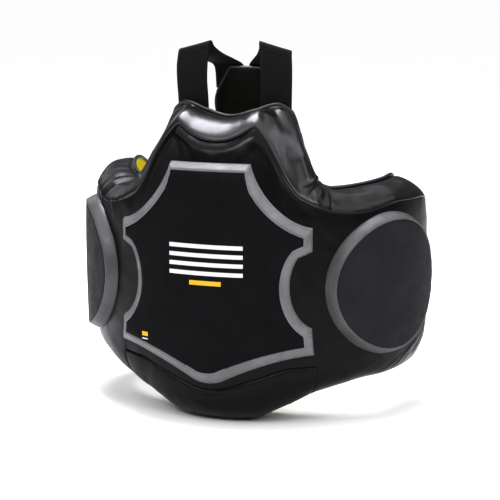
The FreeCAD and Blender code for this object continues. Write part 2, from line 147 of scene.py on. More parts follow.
def lengths(path):
    """Length along a path to each of its points."""
    return np.concatenate([[0], np.cumsum(np.linalg.norm(np.diff(path, axis=0), axis=-1))])


def stacked(*parts):
    """Arrays side by side, along a new last axis."""
    return np.stack(np.broadcast_arrays(*parts), -1)


def sampled(places, run, values):
    """Rows of values that are known along run, at other places."""
    return stacked(*(np.interp(places, run, column) for column in values.T))


def turns(count):
    """Angles of count points round a circle."""
    return np.linspace(0, 2 * math.pi, count, endpoint=False)


# ------------ plan, profile and paths
def plan_radius(angle, plan):
    """Distance from the wrap axis to an ellipse, seen from above."""
    a = radians(angle)
    return 1.0 / np.hypot(np.sin(a) / plan[0], np.cos(a) / plan[1])


def spot(angle, radius, height):
    """Point at an angle from the front, a radius from the wrap axis and a height."""
    a = radians(angle)
    return stacked(radius * np.sin(a), WRAP_Y - radius * np.cos(a), height)


def rearwards(angle):
    """Level direction round the wrap at an angle, away from the front."""
    a = math.radians(angle)
    return np.array([math.cos(a), math.sin(a), 0.0]) * np.sign(angle)


def smooth_line(line, sharp=None):
    """Height of an edge line at any angle: a monotone cubic, the same on both sides, with a
    corner at the angle sharp."""
    x = np.array([p[0] for p in line], float)
    y = np.array([p[1] for p in line], float) * MM
    step = np.diff(x)
    slope = np.diff(y) / step
    before = np.concatenate([[-slope[0]], slope])
    after = np.concatenate([slope, [slope[-1]]])
    same = before * after > 0
    mean = np.where(same, 2 * before * after / np.where(same, before + after, 1.0), 0.0)
    leave = np.where(x == sharp, 0.5 * after, mean)[:-1]
    arrive = np.where(x == sharp, 0.5 * before, mean)[1:]

    def height(angle):
        a = np.clip(np.abs(np.asarray(angle, float)), x[0], x[-1])
        i = np.clip(np.searchsorted(x, a, "right") - 1, 0, len(step) - 1)
        t = (a - x[i]) / step[i]
        h = step[i]
        return ((1 + 2 * t) * (1 - t) ** 2 * y[i] + t * (1 - t) ** 2 * h * leave[i]
                + t * t * (3 - 2 * t) * y[i + 1] - t * t * (1 - t) * h * arrive[i])
    return height


top_seam, soft_seam = smooth_line(TOP_SEAM, sharp=17), smooth_line(TOP_SEAM)
rear_top = smooth_line(REAR_TOP)
low_line, bottom_seam = smooth_line(LOW_LINE), smooth_line(BOTTOM_SEAM)
gusset_bulge = smooth_line(GUSSET_BULGE)


def corner_round(angle):
    """0 along a wing, rising to 1 as a quarter circle at its rear end."""
    u = held((np.abs(angle) - (WING_END - CORNER_SPAN)) / CORNER_SPAN)
    return 1 - np.sqrt(1 - u * u)


def lining_radius(angle):
    """Radius of the lining, which meets the cover half way at a wing's end."""
    return plan_radius(angle, LINING_PLAN) + 0.5 * CORNER_THIN * corner_round(angle)


def cover_radius(angle, height):
    """Radius of the cover, which leans back above LEAN_START."""
    above = np.maximum(height - LEAN_START, 0)
    lean = LEAN_DEPTH * (above / LEAN_HEIGHT) ** 2
    return plan_radius(angle, COVER_PLAN) - CORNER_THIN * corner_round(angle) - lean


def edges(angle):
    """Heights of the shell's lower edge, bottom seam, top seam and rear top edge."""
    drop = CORNER_DROP * corner_round(angle)
    left = LEFT_RISE * bell(angle + 86, 15) - LEFT_DIP * bell(angle + 53, 8)
    return (low_line(angle) + drop, bottom_seam(angle) + drop,
            top_seam(angle) - drop + 0.5 * left, rear_top(angle) - drop + left)


def shell_point(angle, share):
    """The shell's outside. share runs 0 to 1 round the bottom roll, to 2 up the cover and to 3
    over the top gusset."""
    angle, share = np.broadcast_arrays(angle, share)
    low, bottom, seam, top = edges(angle)
    inner = lining_radius(angle) + LINING_THICK
    outer = cover_radius(angle, bottom)
    lowest = inner + LOW_SPOT * (outer - inner)
    turn_in = held(share / LOW_SHARE) * math.pi / 2
    turn_out = held((share - LOW_SHARE) / (1 - LOW_SHARE)) * math.pi / 2
    roll_r = np.where(share < LOW_SHARE, inner + (lowest - inner) * (1 - np.cos(turn_in)),
                      lowest + (outer - lowest) * np.sin(turn_out))
    roll_z = np.where(share < LOW_SHARE, low + REAR_LIFT * (1 - np.sin(turn_in) ** 0.6),
                      bottom - (bottom - low) * np.cos(turn_out))
    cover_z = bottom + held(share - 1) * (seam - bottom)
    cover_r = cover_radius(angle, cover_z)
    seam_r = cover_radius(angle, seam)
    across, rise = seam_r - inner, top - seam
    left = 0.12 * bell(angle + 21, 5) - 0.19 * bell(angle + 37, 8) + 0.14 * bell(angle + 84, 15)
    full = (gusset_bulge(angle) + left) * across / np.hypot(across, rise)
    t = held(share - 2)
    # The seam's pointed corners fade out over the gusset.
    seam = seam + (soft_seam(angle) - top_seam(angle)) * held(t / 0.3)
    w0, w1, w2 = (1 - t) ** 2, 2 * t * (1 - t), t * t
    gusset_r = w0 * seam_r + w1 * (inner + 0.5 * across + full * rise) + w2 * inner
    gusset_z = w0 * seam + w1 * (seam + 0.5 * rise + full * across) + w2 * top
    r = np.where(share < 1, roll_r, np.where(share < 2, cover_r, gusset_r))
    z = np.where(share < 1, roll_z, np.where(share < 2, cover_z, gusset_z))
    return spot(angle, r, z)


ANGLES = np.linspace(-WING_END - 4, WING_END + 4, 2201)
RUN = lengths(spot(ANGLES, plan_radius(ANGLES, COVER_PLAN), 0))
RUN = RUN - np.interp(0, ANGLES, RUN)


def run_at(angle):
    """Length round the cover from the front to an angle."""
    return np.interp(angle, ANGLES, RUN)


def angle_at(run):
    """Angle at a length round the cover."""
    return np.interp(run, RUN, ANGLES)


# ------------ meshes
def in_scene(name, data):
    """New object in the scene."""
    piece = bpy.data.objects.new(name, data)
    bpy.context.scene.collection.objects.link(piece)
    return piece


def make_mesh(name, points, faces, flat=None, normals=None):
    """Mesh object from points and faces, with a flat layout and normals where given."""
    mesh = bpy.data.meshes.new(name)
    mesh.from_pydata(np.asarray(points, float).reshape(-1, 3).tolist(), [], faces)
    mesh.polygons.foreach_set("use_smooth", [True] * len(mesh.polygons))
    if flat is not None:
        layer = mesh.uv_layers.new(name="flat")
        corners = np.empty(len(mesh.loops), np.int32)
        mesh.loops.foreach_get("vertex_index", corners)
        flat = np.asarray(flat, float).reshape(-1, 2)
        layer.data.foreach_set("uv", flat[corners].astype(np.float32).ravel())
    mesh.update()
    if normals is not None:
        normals = np.asarray(normals, float).reshape(-1, 3)
        mesh.normals_split_custom_set_from_vertices(normals.tolist())
    return in_scene(name, mesh)


def cleaned(piece, outwards):
    """Merge points that coincide and turn all faces to the same side, along outwards."""
    mesh = bmesh.new()
    mesh.from_mesh(piece.data)
    bmesh.ops.remove_doubles(mesh, verts=mesh.verts, dist=0.02 * MM)
    bmesh.ops.dissolve_degenerate(mesh, dist=0.02 * MM, edges=mesh.edges)
    bmesh.ops.recalc_face_normals(mesh, faces=mesh.faces)
    total = sum(face.normal.dot(outwards(face.calc_center_median())) * face.calc_area()
                for face in mesh.faces)
    if total < 0:
        bmesh.ops.reverse_faces(mesh, faces=mesh.faces)
    mesh.to_mesh(piece.data)
    mesh.free()
    return piece


def grid_faces(columns, rows, wrap_rows=False, flip=False):
    """Faces of a grid of points, numbered row by row within each column."""
    i, j = np.meshgrid(np.arange(columns - 1), np.arange(rows if wrap_rows else rows - 1),
                       indexing="ij")
    k = (j + 1) % rows
    quads = stacked(i * rows + j, (i + 1) * rows + j, (i + 1) * rows + k, i * rows + k)
    quads = quads.reshape(-1, 4)
    return (quads[:, ::-1] if flip else quads).tolist()


def grid_normals(points):
    """Normals of a grid of points, worked out from its neighbours."""
    return unit(np.cross(np.gradient(points, axis=0), np.gradient(points, axis=1)))


def capped_faces(rings, count):
    """Faces of a tube made of rings of count points, closed at both ends."""
    last = (rings - 1) * count
    return grid_faces(rings, count, wrap_rows=True) + [list(range(count)),
                                                       list(range(last, last + count))[::-1]]


def sections(side, up, count):
    """A unit circle of count points for each pair of directions, and the points' angles."""
    turn = turns(count)
    return side[:, None] * np.cos(turn)[:, None] + up[:, None] * np.sin(turn)[:, None], turn


def tube(name, path, radius, sides=12, closed=False):
    """Round tube along a path of points."""
    path = np.asarray(path, float)
    count = len(path)
    tangent = unit(np.roll(path, -1, 0) - np.roll(path, 1, 0) if closed
                   else np.gradient(path, axis=0))
    side = np.cross(tangent, [0.0, 0.0, 1.0])
    weak = np.linalg.norm(side, axis=1) < 0.3
    side[weak] = np.cross(tangent[weak], [0.0, 1.0, 0.0])
    side = unit(side)
    ring, turn = sections(side, np.cross(side, tangent), sides)
    radius = np.broadcast_to(np.asarray(radius, float).reshape(-1, 1, 1), (count, 1, 1))
    if closed:
        last = (count - 1) * sides
        faces = grid_faces(count, sides, wrap_rows=True)
        faces += [[j, (j + 1) % sides, last + (j + 1) % sides, last + j] for j in range(sides)]
    else:
        faces = capped_faces(count, sides)
    points = path[:, None] + ring * radius
    flat = stacked(lengths(path)[:, None], turn * radius.mean())
    return make_mesh(name, points, faces, flat)


def finish_piece(piece, material, slot, nodes=(), body=None, blend=None, fill=None):
    """Give a piece its material and body, and hide its CAD nodes; with a blend, its placement is
    only baked into its points. slot is not used.
    """
    piece.data.materials.append(material)
    if body:
        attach(piece, body)
    if blend:
        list(blend)
        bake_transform(piece)
    if nodes:
        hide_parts(*nodes)
    return piece


# ------------ materials
class Nodes:
    """Short calls for building one material's node tree."""

    def __init__(self, name, **values):
        self.material = bpy.data.materials.new(name)
        self.material.use_nodes = True
        self.tree = self.material.node_tree
        self.shader = self.tree.nodes["Principled BSDF"]
        for socket, value in values.items():
            self.shader.inputs[socket.replace("_", " ")].default_value = value
        self.place = self.add("ShaderNodeTexCoord").outputs["Object"]

    def add(self, kind, inputs=(), **settings):
        node = self.tree.nodes.new(kind)
        for name, value in settings.items():
            setattr(node, name, value)
        for name, value in dict(inputs).items():
            if isinstance(value, (int, float)):
                node.inputs[name].default_value = value
            else:
                self.link(value, node.inputs[name])
        return node

    def link(self, source, target):
        self.tree.links.new(source, target)

    def flat(self):
        return self.add("ShaderNodeUVMap", uv_map="flat").outputs["UV"]

    def noise(self, scale, detail=3.0, roughness=0.5):
        inputs = {"Vector": self.place, "Scale": scale, "Detail": detail, "Roughness": roughness}
        return self.add("ShaderNodeTexNoise", inputs).outputs["Fac"]

    def cells(self, scale, feature="DISTANCE_TO_EDGE"):
        inputs = {"Vector": self.place, "Scale": scale}
        return self.add("ShaderNodeTexVoronoi", inputs, feature=feature).outputs["Distance"]

    def wave(self, scale, direction, place):
        inputs = {"Vector": place, "Scale": scale}
        return self.add("ShaderNodeTexWave", inputs, bands_direction=direction).outputs["Fac"]

    def spread(self, source, low, high, into_low, into_high):
        inputs = {"Value": source, "From Min": low, "From Max": high, "To Min": into_low,
                  "To Max": into_high}
        return self.add("ShaderNodeMapRange", inputs).outputs["Result"]

    def math(self, operation, first, second):
        node = self.add("ShaderNodeMath", {0: first, 1: second}, operation=operation)
        return node.outputs["Value"]

    def colour(self, factor, first, second):
        """Make the base colour run from the first colour to the second."""
        node = self.add("ShaderNodeMix", data_type="RGBA")
        self.link(factor, node.inputs["Factor"])
        first_socket, second_socket = [s for s in node.inputs if s.type == "RGBA"]
        first_socket.default_value = (*first, 1)
        second_socket.default_value = (*second, 1)
        result = [s for s in node.outputs if s.type == "RGBA"][0]
        self.link(result, self.shader.inputs["Base Color"])

    def roughness(self, source):
        self.link(source, self.shader.inputs["Roughness"])

    def bumps(self, *layers):
        """layers: (height, strength, distance in metres), from the coarsest to the finest."""
        below = {}
        for height, strength, distance in layers:
            inputs = {"Height": height, "Strength": strength, "Distance": distance, **below}
            below = {"Normal": self.add("ShaderNodeBump", inputs).outputs["Normal"]}
        self.link(below["Normal"], self.shader.inputs["Normal"])


def vinyl(name, colour, worn, roughness, grain=0.25, creases=0.3, coat=0.0, specular=0.24,
          taut=None):
    """Synthetic leather: pebbled grain, fine creases, and a slight wear that lightens it. It is
    smoother above the two heights of taut, where it is pulled tight."""
    n = Nodes(name, Coat_Weight=coat, Coat_Roughness=0.16, Specular_IOR_Level=specular)
    wear = n.noise(26, 5, 0.6)
    n.colour(n.spread(wear, 0.35, 0.75, 0, 1), colour, worn)
    smear = n.noise(60, 4, 0.65)
    rough = n.spread(smear, 0.3, 0.7, roughness * 0.82, roughness * 1.2)
    if taut:
        height = n.add("ShaderNodeSeparateXYZ", {"Vector": n.place}).outputs["Z"]
        rough = n.math("MULTIPLY", rough, n.spread(height, *taut, 1.0, 0.6))
    n.roughness(rough)
    soft = n.noise(38, 4, 0.5)
    pebbles = n.cells(900)
    pores = n.noise(2600, 2, 0.6)
    n.bumps((soft, creases, 1.2 * MM), (pebbles, grain, 0.12 * MM), (pores, grain, 0.05 * MM))
    return n.material


def weave(name, colour, light, pitch, roughness=0.75, depth=0.35, sheen=0.3):
    """Woven webbing or cloth, with its threads along the piece's own flat layout."""
    n = Nodes(name, Roughness=roughness, Sheen_Weight=sheen, Sheen_Roughness=0.4,
              Specular_IOR_Level=0.16)
    flat = n.flat()
    warp, weft, twill = (n.wave(0.5 / pitch, way, flat) for way in ("X", "Y", "DIAGONAL"))
    threads = n.math("MULTIPLY", n.math("MAXIMUM", warp, weft), n.spread(twill, 0, 1, 0.45, 1))
    fuzz = n.noise(420, 5, 0.7)
    tone = n.math("MULTIPLY", threads, n.spread(fuzz, 0.25, 0.75, 0.5, 1.2))
    n.colour(tone, colour, light)
    n.bumps((n.noise(45, 3, 0.5), 0.25, 1.0 * MM), (threads, depth, 0.3 * MM),
            (fuzz, 0.25, 0.1 * MM))
    return n.material


def plastic(name, colour, roughness):
    """Moulded plastic with a faint texture."""
    n = Nodes(name, Specular_IOR_Level=0.5)
    n.colour(n.noise(60, 4, 0.6), colour, tuple(c * 1.5 for c in colour))
    n.roughness(n.spread(n.noise(160, 4, 0.6), 0.3, 0.7, roughness * 0.8, roughness * 1.25))
    n.bumps((n.noise(1500, 2, 0.5), 0.2, 0.05 * MM),)
    return n.material


def tape(name, colour, light, loops):
    """Hook-and-loop tape: rows of small hooks, or tangled loops."""
    n = Nodes(name, Roughness=0.85, Sheen_Weight=0.25)
    nap = n.cells(1500 if loops else 900, "F1")
    tangle = n.noise(700, 5, 0.7)
    rough = n.math("MULTIPLY", nap, tangle) if loops else nap
    n.colour(n.spread(rough, 0.1, 0.6, 1, 0), colour, light)
    n.bumps((rough, 0.6, 0.5 * MM),)
    return n.material


def printed(name, colour):
    """Flat screen print on vinyl."""
    n = Nodes(name, Specular_IOR_Level=0.4)
    n.colour(n.noise(300, 5, 0.6), colour, tuple(c * 0.86 for c in colour))
    n.roughness(n.spread(n.noise(120, 3, 0.5), 0.3, 0.7, 0.36, 0.52))
    n.bumps((n.cells(900), 0.15, 0.08 * MM),)
    return n.material


BLACK, WORN_BLACK = (0.0035, 0.0034, 0.0038), (0.006, 0.0058, 0.0064)
GLOSS = vinyl("gloss_vinyl", BLACK, WORN_BLACK, 0.33, grain=0.1, creases=0.25, coat=0.25,
              specular=0.5)
WING_GLOSS = vinyl("wing_gloss_vinyl", BLACK, WORN_BLACK, 0.35, grain=0.1, creases=0.25,
                   specular=0.36)
# A darker copy of the shell's black vinyl, for the covers and the bottom roll: painted shade.
SHADED_VINYL = vinyl("shaded_black_vinyl", (0.0012, 0.0012, 0.0014), (0.0024, 0.0023, 0.0026), 0.33,
              grain=0.14, creases=0.25, specular=0.2, taut=(412 * MM, 430 * MM))
SHIELD = vinyl("shield_vinyl", (0.0062, 0.0062, 0.007), (0.0085, 0.0085, 0.0093), 0.56,
               grain=0.2, creases=0.15, specular=0.08)
# A lighter copy of the shield's matte vinyl for the targets' faces: painted light.
LIT_TARGET = vinyl("target_vinyl", (0.021, 0.021, 0.0222), (0.028, 0.028, 0.0292), 0.55,
               grain=0.2, creases=0.15, specular=0.1)
BINDING = vinyl("binding_vinyl", (0.13, 0.13, 0.132), (0.19, 0.19, 0.192), 0.40,
                grain=0.15, creases=0.6, specular=0.4)
TARGET_BINDING = vinyl("target_binding_vinyl", (0.066, 0.066, 0.067), (0.1, 0.1, 0.101), 0.40,
                       grain=0.15, creases=0.6, specular=0.4)
# Near-black matte copy of the shell's vinyl for the seam cords: painted shade in the seam grooves.
SEAM_SHADE = vinyl("seam_shade_vinyl", (0.0012, 0.0012, 0.0014), (0.002, 0.002, 0.0022), 0.7, specular=0.02)
PIPING = vinyl("piping_vinyl", (0.014, 0.014, 0.0155), (0.035, 0.035, 0.037), 0.34,
               grain=0.1, creases=0.5, specular=0.5)
LINING = weave("lining_cloth", (0.52, 0.42, 0.005), (0.78, 0.66, 0.010), 0.9 * MM, 0.7, 0.3, 0.05)
WEBBING = weave("webbing", (0.005, 0.0047, 0.005), (0.014, 0.0132, 0.014), 1.1 * MM, sheen=0.06)
PAD_CLOTH = weave("pad_cloth", (0.0022, 0.0021, 0.0016), (0.006, 0.0058, 0.0045), 0.8 * MM,
                  sheen=0.03)
THREAD = weave("thread", (0.03, 0.03, 0.03), (0.07, 0.07, 0.07), 0.3 * MM)
GREY_THREAD = weave("grey_thread", (0.09, 0.09, 0.095), (0.2, 0.2, 0.21), 0.3 * MM)
HOOKS = tape("hook_tape", (0.004, 0.004, 0.004), (0.02, 0.02, 0.02), loops=False)
LOOPS = tape("loop_tape", (0.006, 0.006, 0.006), (0.03, 0.03, 0.03), loops=True)
RING = plastic("ring_plastic", (0.008, 0.008, 0.008), 0.35)
WHITE_PRINT = printed("white_print", (0.62, 0.62, 0.62))
GOLD_PRINT = printed("gold_print", (0.66, 0.40, 0.02))


# ------------ soft relief of the shell
def waves(x, y, length, count, seed, lean=0.0, spread=math.pi):
    """Smooth random undulation from -1 to 1 whose waves are about length long."""
    draw = np.random.default_rng(seed)
    total = np.zeros(np.broadcast(x, y).shape)
    for _ in range(count):
        turn = lean + draw.uniform(-spread / 2, spread / 2)
        size = length * draw.uniform(0.6, 1.6)
        phase = draw.uniform(0, 2 * math.pi)
        bend = 0.6 * np.sin((x * math.sin(turn * 3) + y * math.cos(turn * 2)) * 2 / size + phase)
        total = total + np.sin((x * math.cos(turn) + y * math.sin(turn)) * 2 * math.pi / size
                               + phase + bend)
    return total / math.sqrt(count * 2)


def fold(x, y, start, end, width, height, bend=0.0):
    """A ridge (height > 0) or crease (height < 0) from start to end that fades at both tips."""
    ax, ay = end[0] - start[0], end[1] - start[1]
    size = math.hypot(ax, ay)
    along = ((x - start[0]) * ax + (y - start[1]) * ay) / size ** 2
    off = ((x - start[0]) * ay - (y - start[1]) * ax) / size - bend * np.sin(held(along) * math.pi)
    return height * held(1 - np.abs(2 * along - 1) ** 4) * bell(off, width)


def stepped(start, end, count, ends):
    """Values from start to end that crowd towards both ends; ends is how much finer they are."""
    u = np.linspace(0, 1, count)
    return start + (end - start) * (u - (1 - ends) * np.sin(2 * math.pi * u) / (2 * math.pi))


def shell_columns():
    """Angles of the shell's columns, closest at the flex lines and the ends."""
    half = np.concatenate([stepped(0, FLEX_ANGLE, 86, 0.45),
                           stepped(FLEX_ANGLE, WING_END, 140, 0.35)[1:]])
    return np.concatenate([-half[:0:-1], half])


ROLL_ROWS, COVER_ROWS, GUSSET_ROWS = 56, 120, 54
COLUMNS = shell_columns()
ROWS = np.concatenate([stepped(0, 1, ROLL_ROWS, 0.35), stepped(1, 2, COVER_ROWS, 0.3)[1:],
                       stepped(2, 3, GUSSET_ROWS, 0.3)[1:]])
BOTTOM_ROW = ROLL_ROWS - 1
SEAM_ROW = BOTTOM_ROW + COVER_ROWS - 1
LEFT_FLEX = int(np.argmin(np.abs(COLUMNS + FLEX_ANGLE)))
RIGHT_FLEX = int(np.argmin(np.abs(COLUMNS - FLEX_ANGLE)))
MIDDLE = len(COLUMNS) // 2


def shell_relief(x, y, top, foot):
    """How far the skin stands off its plain shape. x runs round the shell, y up from the top
    seam, top is the distance to the rear top edge and foot the distance from the bottom seam."""
    gusset = held(y / (6 * MM))
    cover = 1 - gusset
    neck = held((run_at(FLEX_ANGLE + 6) - np.abs(x)) / (50 * MM))
    relief = 1.0 * MM * gusset * waves(x, y, 90 * MM, 9, 3)
    relief += (0.22 - 0.17 * neck) * MM * gusset * waves(x, y, 26 * MM, 10, 4, lean=0.3, spread=1.6)
    relief += 0.7 * MM * cover * waves(x, y, 110 * MM, 8, 5)
    relief += 0.22 * MM * cover * waves(x, y, 34 * MM, 10, 6)
    # Puckers that the stitching pulls into the skin beside each seam.
    pucker = 0.5 + 0.5 * waves(x, 0 * y, 40 * MM, 6, 8)
    comb = waves(x + 0.25 * y, 0.1 * y, 9 * MM, 5, 9, spread=0.3)
    relief += 0.3 * MM * pucker * comb * np.exp(-np.abs(y) / (8 * MM)) * gusset
    relief += 0.4 * MM * pucker * comb * np.exp(-np.abs(top) / (10 * MM)) * gusset
    front = held((run_at(FLEX_ANGLE) - np.abs(x)) / (4 * MM))
    relief += 0.35 * MM * front * pucker * comb * np.exp(-np.abs(foot) / (10 * MM))
    # The sewn edges themselves.
    relief -= TOP_GROOVE[0] * bell(y, TOP_GROOVE[1])
    lip = (10 + 14 * held((np.abs(x) - run_at(26)) / (50 * MM))) * MM
    relief -= 3.4 * MM * np.exp(-(np.abs(y) / np.where(y < 0, lip, 4 * MM)) ** 1.3)
    # The cover rolls over more at the chest, where it is stuffed tighter.
    chest = np.exp(-(x / run_at(20)) ** 6) * (y < 0)
    relief -= 5.0 * MM * chest * (bell(y, 11 * MM) - 0.4 * bell(y, 26 * MM))
    # Only the front panel has a seam at its foot: the wings' skin runs on underneath.
    relief -= BOTTOM_GROOVE[0] * front * bell(foot, BOTTOM_GROOVE[1])
    relief -= 1.6 * MM * front * np.exp(-(np.abs(foot) / (9 * MM)) ** 1.3)
    # Small pleats under the shield's lowest point.
    pleats = np.abs(np.sin(x * math.pi / (7 * MM) + 30 * foot)) ** 0.5
    middle = np.exp(-(x / (26 * MM)) ** 4)
    relief -= 1.2 * MM * pleats * middle * bell(foot + 5 * MM, 4 * MM)
    return relief - 1.8 * MM * bell(top, 6 * MM)


def side_folds(x, y):
    """Creases that fan out from the top of the panel seam beside each armhole."""
    seam = run_at(PANEL_SEAM[1]) - 4 * MM
    total = 0
    for reach, foot, height, width in ((64, 20, 1.5, 2.4), (52, 12, -1.0, 2.6), (41, 6, 0.9, 2.8),
                                       (31, 3, -0.9, 2.4), (21, 3, 1.2, 2.6), (12, 4, -0.8, 2.4)):
        total += fold(x, y, (seam, 86 * MM), (seam - reach * MM, foot * MM), width * MM,
                      height * MM, -4 * MM)
    total += fold(x, y, (seam - 26 * MM, 92 * MM), (seam - 78 * MM, 48 * MM), 4.5 * MM,
                  0.7 * MM, 4 * MM)
    for start, end, height in (((18, 44), (84, 30), 1.4), ((30, 20), (120, 14), 1.0),
                               ((70, 52), (150, 44), 1.2), ((110, 24), (180, 40), 1.0)):
        total += fold(x, y, (seam + start[0] * MM, start[1] * MM),
                      (seam + end[0] * MM, end[1] * MM), 9 * MM, height * MM, 5 * MM)
    return total


def facets(angle, share):
    """Long flat facets along the neck's sides, with a ridge between them."""
    t = held(share - 2)
    crest = 0.6
    tent = np.where(t < crest, t / crest, (1 - t) / (1 - crest))
    soft = 1 - np.sqrt((1 - tent) ** 2 + 0.012) + 0.11
    return RIDGE * soft * np.exp(-((np.abs(angle) - 28.5) / 9.5) ** 4)


def gathers(x, y):
    """Soft diagonal folds, as on a wing whose top is pushed together."""
    seam = run_at(FLEX_ANGLE)
    total = 0
    for step in range(8):
        foot = seam + (30 + 24 * step) * MM
        tip = foot + (18 + 3 * step) * MM
        total += fold(x, y, (foot, -28 * MM), (tip, 70 * MM), 6 * MM,
                      (2.4 - 1.1 * (step % 2)) * MM, 6 * MM)
        total += fold(x, y, (foot + 10 * MM, -20 * MM), (tip + 10 * MM, 66 * MM), 3 * MM,
                      -1.5 * MM, 6 * MM)
    return total


def rear_wrinkles(x, foot):
    """Slanting wrinkles low on the rear of a wing."""
    end = run_at(WING_END)
    total = 0
    for step in range(6):
        near = end - (16 + 22 * step) * MM
        total += fold(x, foot, (near, (30 - 10 * step) * MM),
                      (near - 52 * MM, (-34 - 3 * step) * MM), 4.5 * MM,
                      (1.9 - 0.9 * (step % 2)) * MM, 5 * MM)
    return total


def shell_grid():
    """The skin of the whole shell, from one wing's end to the other, with its normals."""
    plain = shell_point(COLUMNS[:, None], ROWS[None, :])
    step = np.linalg.norm(np.diff(plain, axis=1), axis=-1)
    run = np.concatenate([np.zeros((len(COLUMNS), 1)), np.cumsum(step, axis=1)], 1)
    x = np.broadcast_to(run_at(COLUMNS)[:, None], run.shape)
    y = run - run[:, SEAM_ROW:SEAM_ROW + 1]
    foot = run - run[:, BOTTOM_ROW:BOTTOM_ROW + 1]
    top = run - run[:, -1:]
    relief = shell_relief(x, y, top, foot)
    relief += side_folds(x, y) * (y > 0) + 0.7 * side_folds(-x, y) * (y > 0)
    relief += 0.5 * gathers(-x, y)
    relief += rear_wrinkles(x, foot) + 0.6 * rear_wrinkles(-x, foot)
    right = COLUMNS[:, None] > 0
    relief += facets(COLUMNS[:, None], ROWS[None, :]) * np.where(right, 1, 0.15)
    # The upright seams where the neck and bottom panels meet the wings' panels.
    upper = run_at(PANEL_SEAM[0] + (PANEL_SEAM[1] - PANEL_SEAM[0]) * held(ROWS[None, :] - 2))
    upright = np.abs(np.abs(x) - np.where(y > 0, upper, run_at(FLEX_ANGLE)))
    sewn = bell(upright, UPRIGHT_GROOVE[1]) + 0.5 * np.exp(-upright / (6 * MM))
    relief -= UPRIGHT_GROOVE[0] * sewn * held(np.maximum(y, -foot) / (3 * MM))
    # The ends and the rear edges stay in place.
    relief *= held((run_at(WING_END) - np.abs(x)) / (10 * MM)) ** 0.5
    relief *= held(np.minimum(run, -top) / (3 * MM))
    normals = grid_normals(plain)
    points = plain + normals * relief[..., None]
    # Nothing reaches under the floor that it stands on.
    points[..., 2] = np.maximum(points[..., 2], 0.0)
    return points, grid_normals(points), stacked(x, y)


def shell_piece(name, grid, columns, rows):
    """Part of the shell's grid as a mesh that keeps the whole grid's normals."""
    points, normals, flat = (part[columns[0]:columns[1] + 1, rows[0]:rows[1] + 1] for part in grid)
    return make_mesh(name, points, grid_faces(*points.shape[:2]), flat, normals)


def wing_blend(side):
    """Blend of a piece that crosses onto a wing: it starts on the flex line's upright plane."""
    hinge = spot(FLEX_ANGLE * side, plan_radius(FLEX_ANGLE, COVER_PLAN), 0.2)
    return ("front_body", "right_wing" if side > 0 else "left_wing",
            tuple(hinge), tuple(hinge + rearwards(FLEX_ANGLE * side) * BEND_ZONE))


SIDES = (("right", 1), ("left", -1))


def build_shell():
    """All the skins of the foam shell."""
    grid = shell_grid()
    last = len(COLUMNS) - 1
    front = (LEFT_FLEX, RIGHT_FLEX)
    neck_rows, roll_rows = (SEAM_ROW, len(ROWS) - 1), (0, BOTTOM_ROW)
    finish_piece(shell_piece("neck_gusset_skin", grid, front, neck_rows), GLOSS, "gloss_vinyl",
                 ("neck_gusset", "front_foam_inner"), "front_body", fill=0.9)
    # The bottom roll takes the darker copy of the black vinyl: painted shade on the underside.
    finish_piece(shell_piece("bottom_gusset_skin", grid, front, roll_rows), SHADED_VINYL, "gloss_vinyl",
                 ("bottom_gusset", "front_foam_outer"), "front_body", fill=0.9)
    for side, sign in SIDES:
        wing = (RIGHT_FLEX, last) if sign > 0 else (0, LEFT_FLEX)
        half = (MIDDLE, last) if sign > 0 else (0, MIDDLE)
        bend = wing_blend(sign)
        skin = shell_piece(side + "_cover_skin", grid, half, (BOTTOM_ROW, SEAM_ROW))
        finish_piece(skin, SHADED_VINYL, "gloss_vinyl", ("front_cover", side + "_wing_cover"),
                     blend=bend, fill=0.9)
        roll = shell_piece(side + "_wing_roll_skin", grid, wing, roll_rows)
        finish_piece(roll, SHADED_VINYL, "gloss_vinyl", (side + "_wing_foam_outer",), blend=bend, fill=0.9)
        gusset = shell_piece(side + "_armhole_gusset_skin", grid, wing, neck_rows)
        finish_piece(gusset, WING_GLOSS, "gloss_vinyl",
                     (side + "_armhole_gusset", side + "_wing_foam_inner"), blend=bend, fill=0.9)
        end = grid[0][last if sign > 0 else 0]
        finish_piece(wing_end(side + "_wing_end_skin", end, sign), WING_GLOSS, "gloss_vinyl",
                     body=side + "_wing", fill=0.9)
    build_seam_shade_lines(grid)


def build_seam_shade_lines(grid):
    """Near-black matte cord at the folded edge of the shell's two long seams: painted shade in
    their grooves.
    """
    last = len(COLUMNS) - 1
    for mark, row, depth in (("top", SEAM_ROW, 0.4 * MM), ("bottom", BOTTOM_ROW, 0.5 * MM)):
        path = grid[0][:, row] - grid[1][:, row] * depth
        front = tube(mark + "_seam_line", path[LEFT_FLEX:RIGHT_FLEX + 1], 0.8 * MM, sides=6)
        finish_piece(front, SEAM_SHADE, "gloss_vinyl", (), "front_body")
        for side, sign in SIDES if mark == "top" else ():
            part = path[RIGHT_FLEX:last - 3] if sign > 0 else path[4:LEFT_FLEX + 1]
            line = tube("%s_%s_seam_line" % (side, mark), part, 0.8 * MM, sides=6)
            finish_piece(line, SEAM_SHADE, "gloss_vinyl", (), blend=wing_blend(sign))


def wing_end(name, outside, sign):
    """Panel that closes a wing's rear end, rounded between the cover and the lining."""
    angle = WING_END * sign
    low, _, _, top = edges(angle)
    height = outside[:, 2]
    foot = low + REAR_LIFT
    share = np.maximum.accumulate(held((height - foot) / (top - foot)))
    inside = spot(angle, lining_radius(angle), foot + share * (top - foot))
    t = np.linspace(0, 1, 15)[:, None, None]
    back = rearwards(angle)
    gap = np.linalg.norm(outside - inside, axis=1)[None, :, None]
    bulge = np.minimum(0.12 * gap, 4.5 * MM) * np.sin(math.pi * t) ** 2
    points = outside[None] * (1 - t) + inside[None] * t + back * bulge
    faces = grid_faces(*points.shape[:2], flip=sign < 0)
    piece = make_mesh(name, points, faces, stacked(t[..., 0] * 0.05, height[None]))
    return cleaned(piece, lambda place: Vector(back))


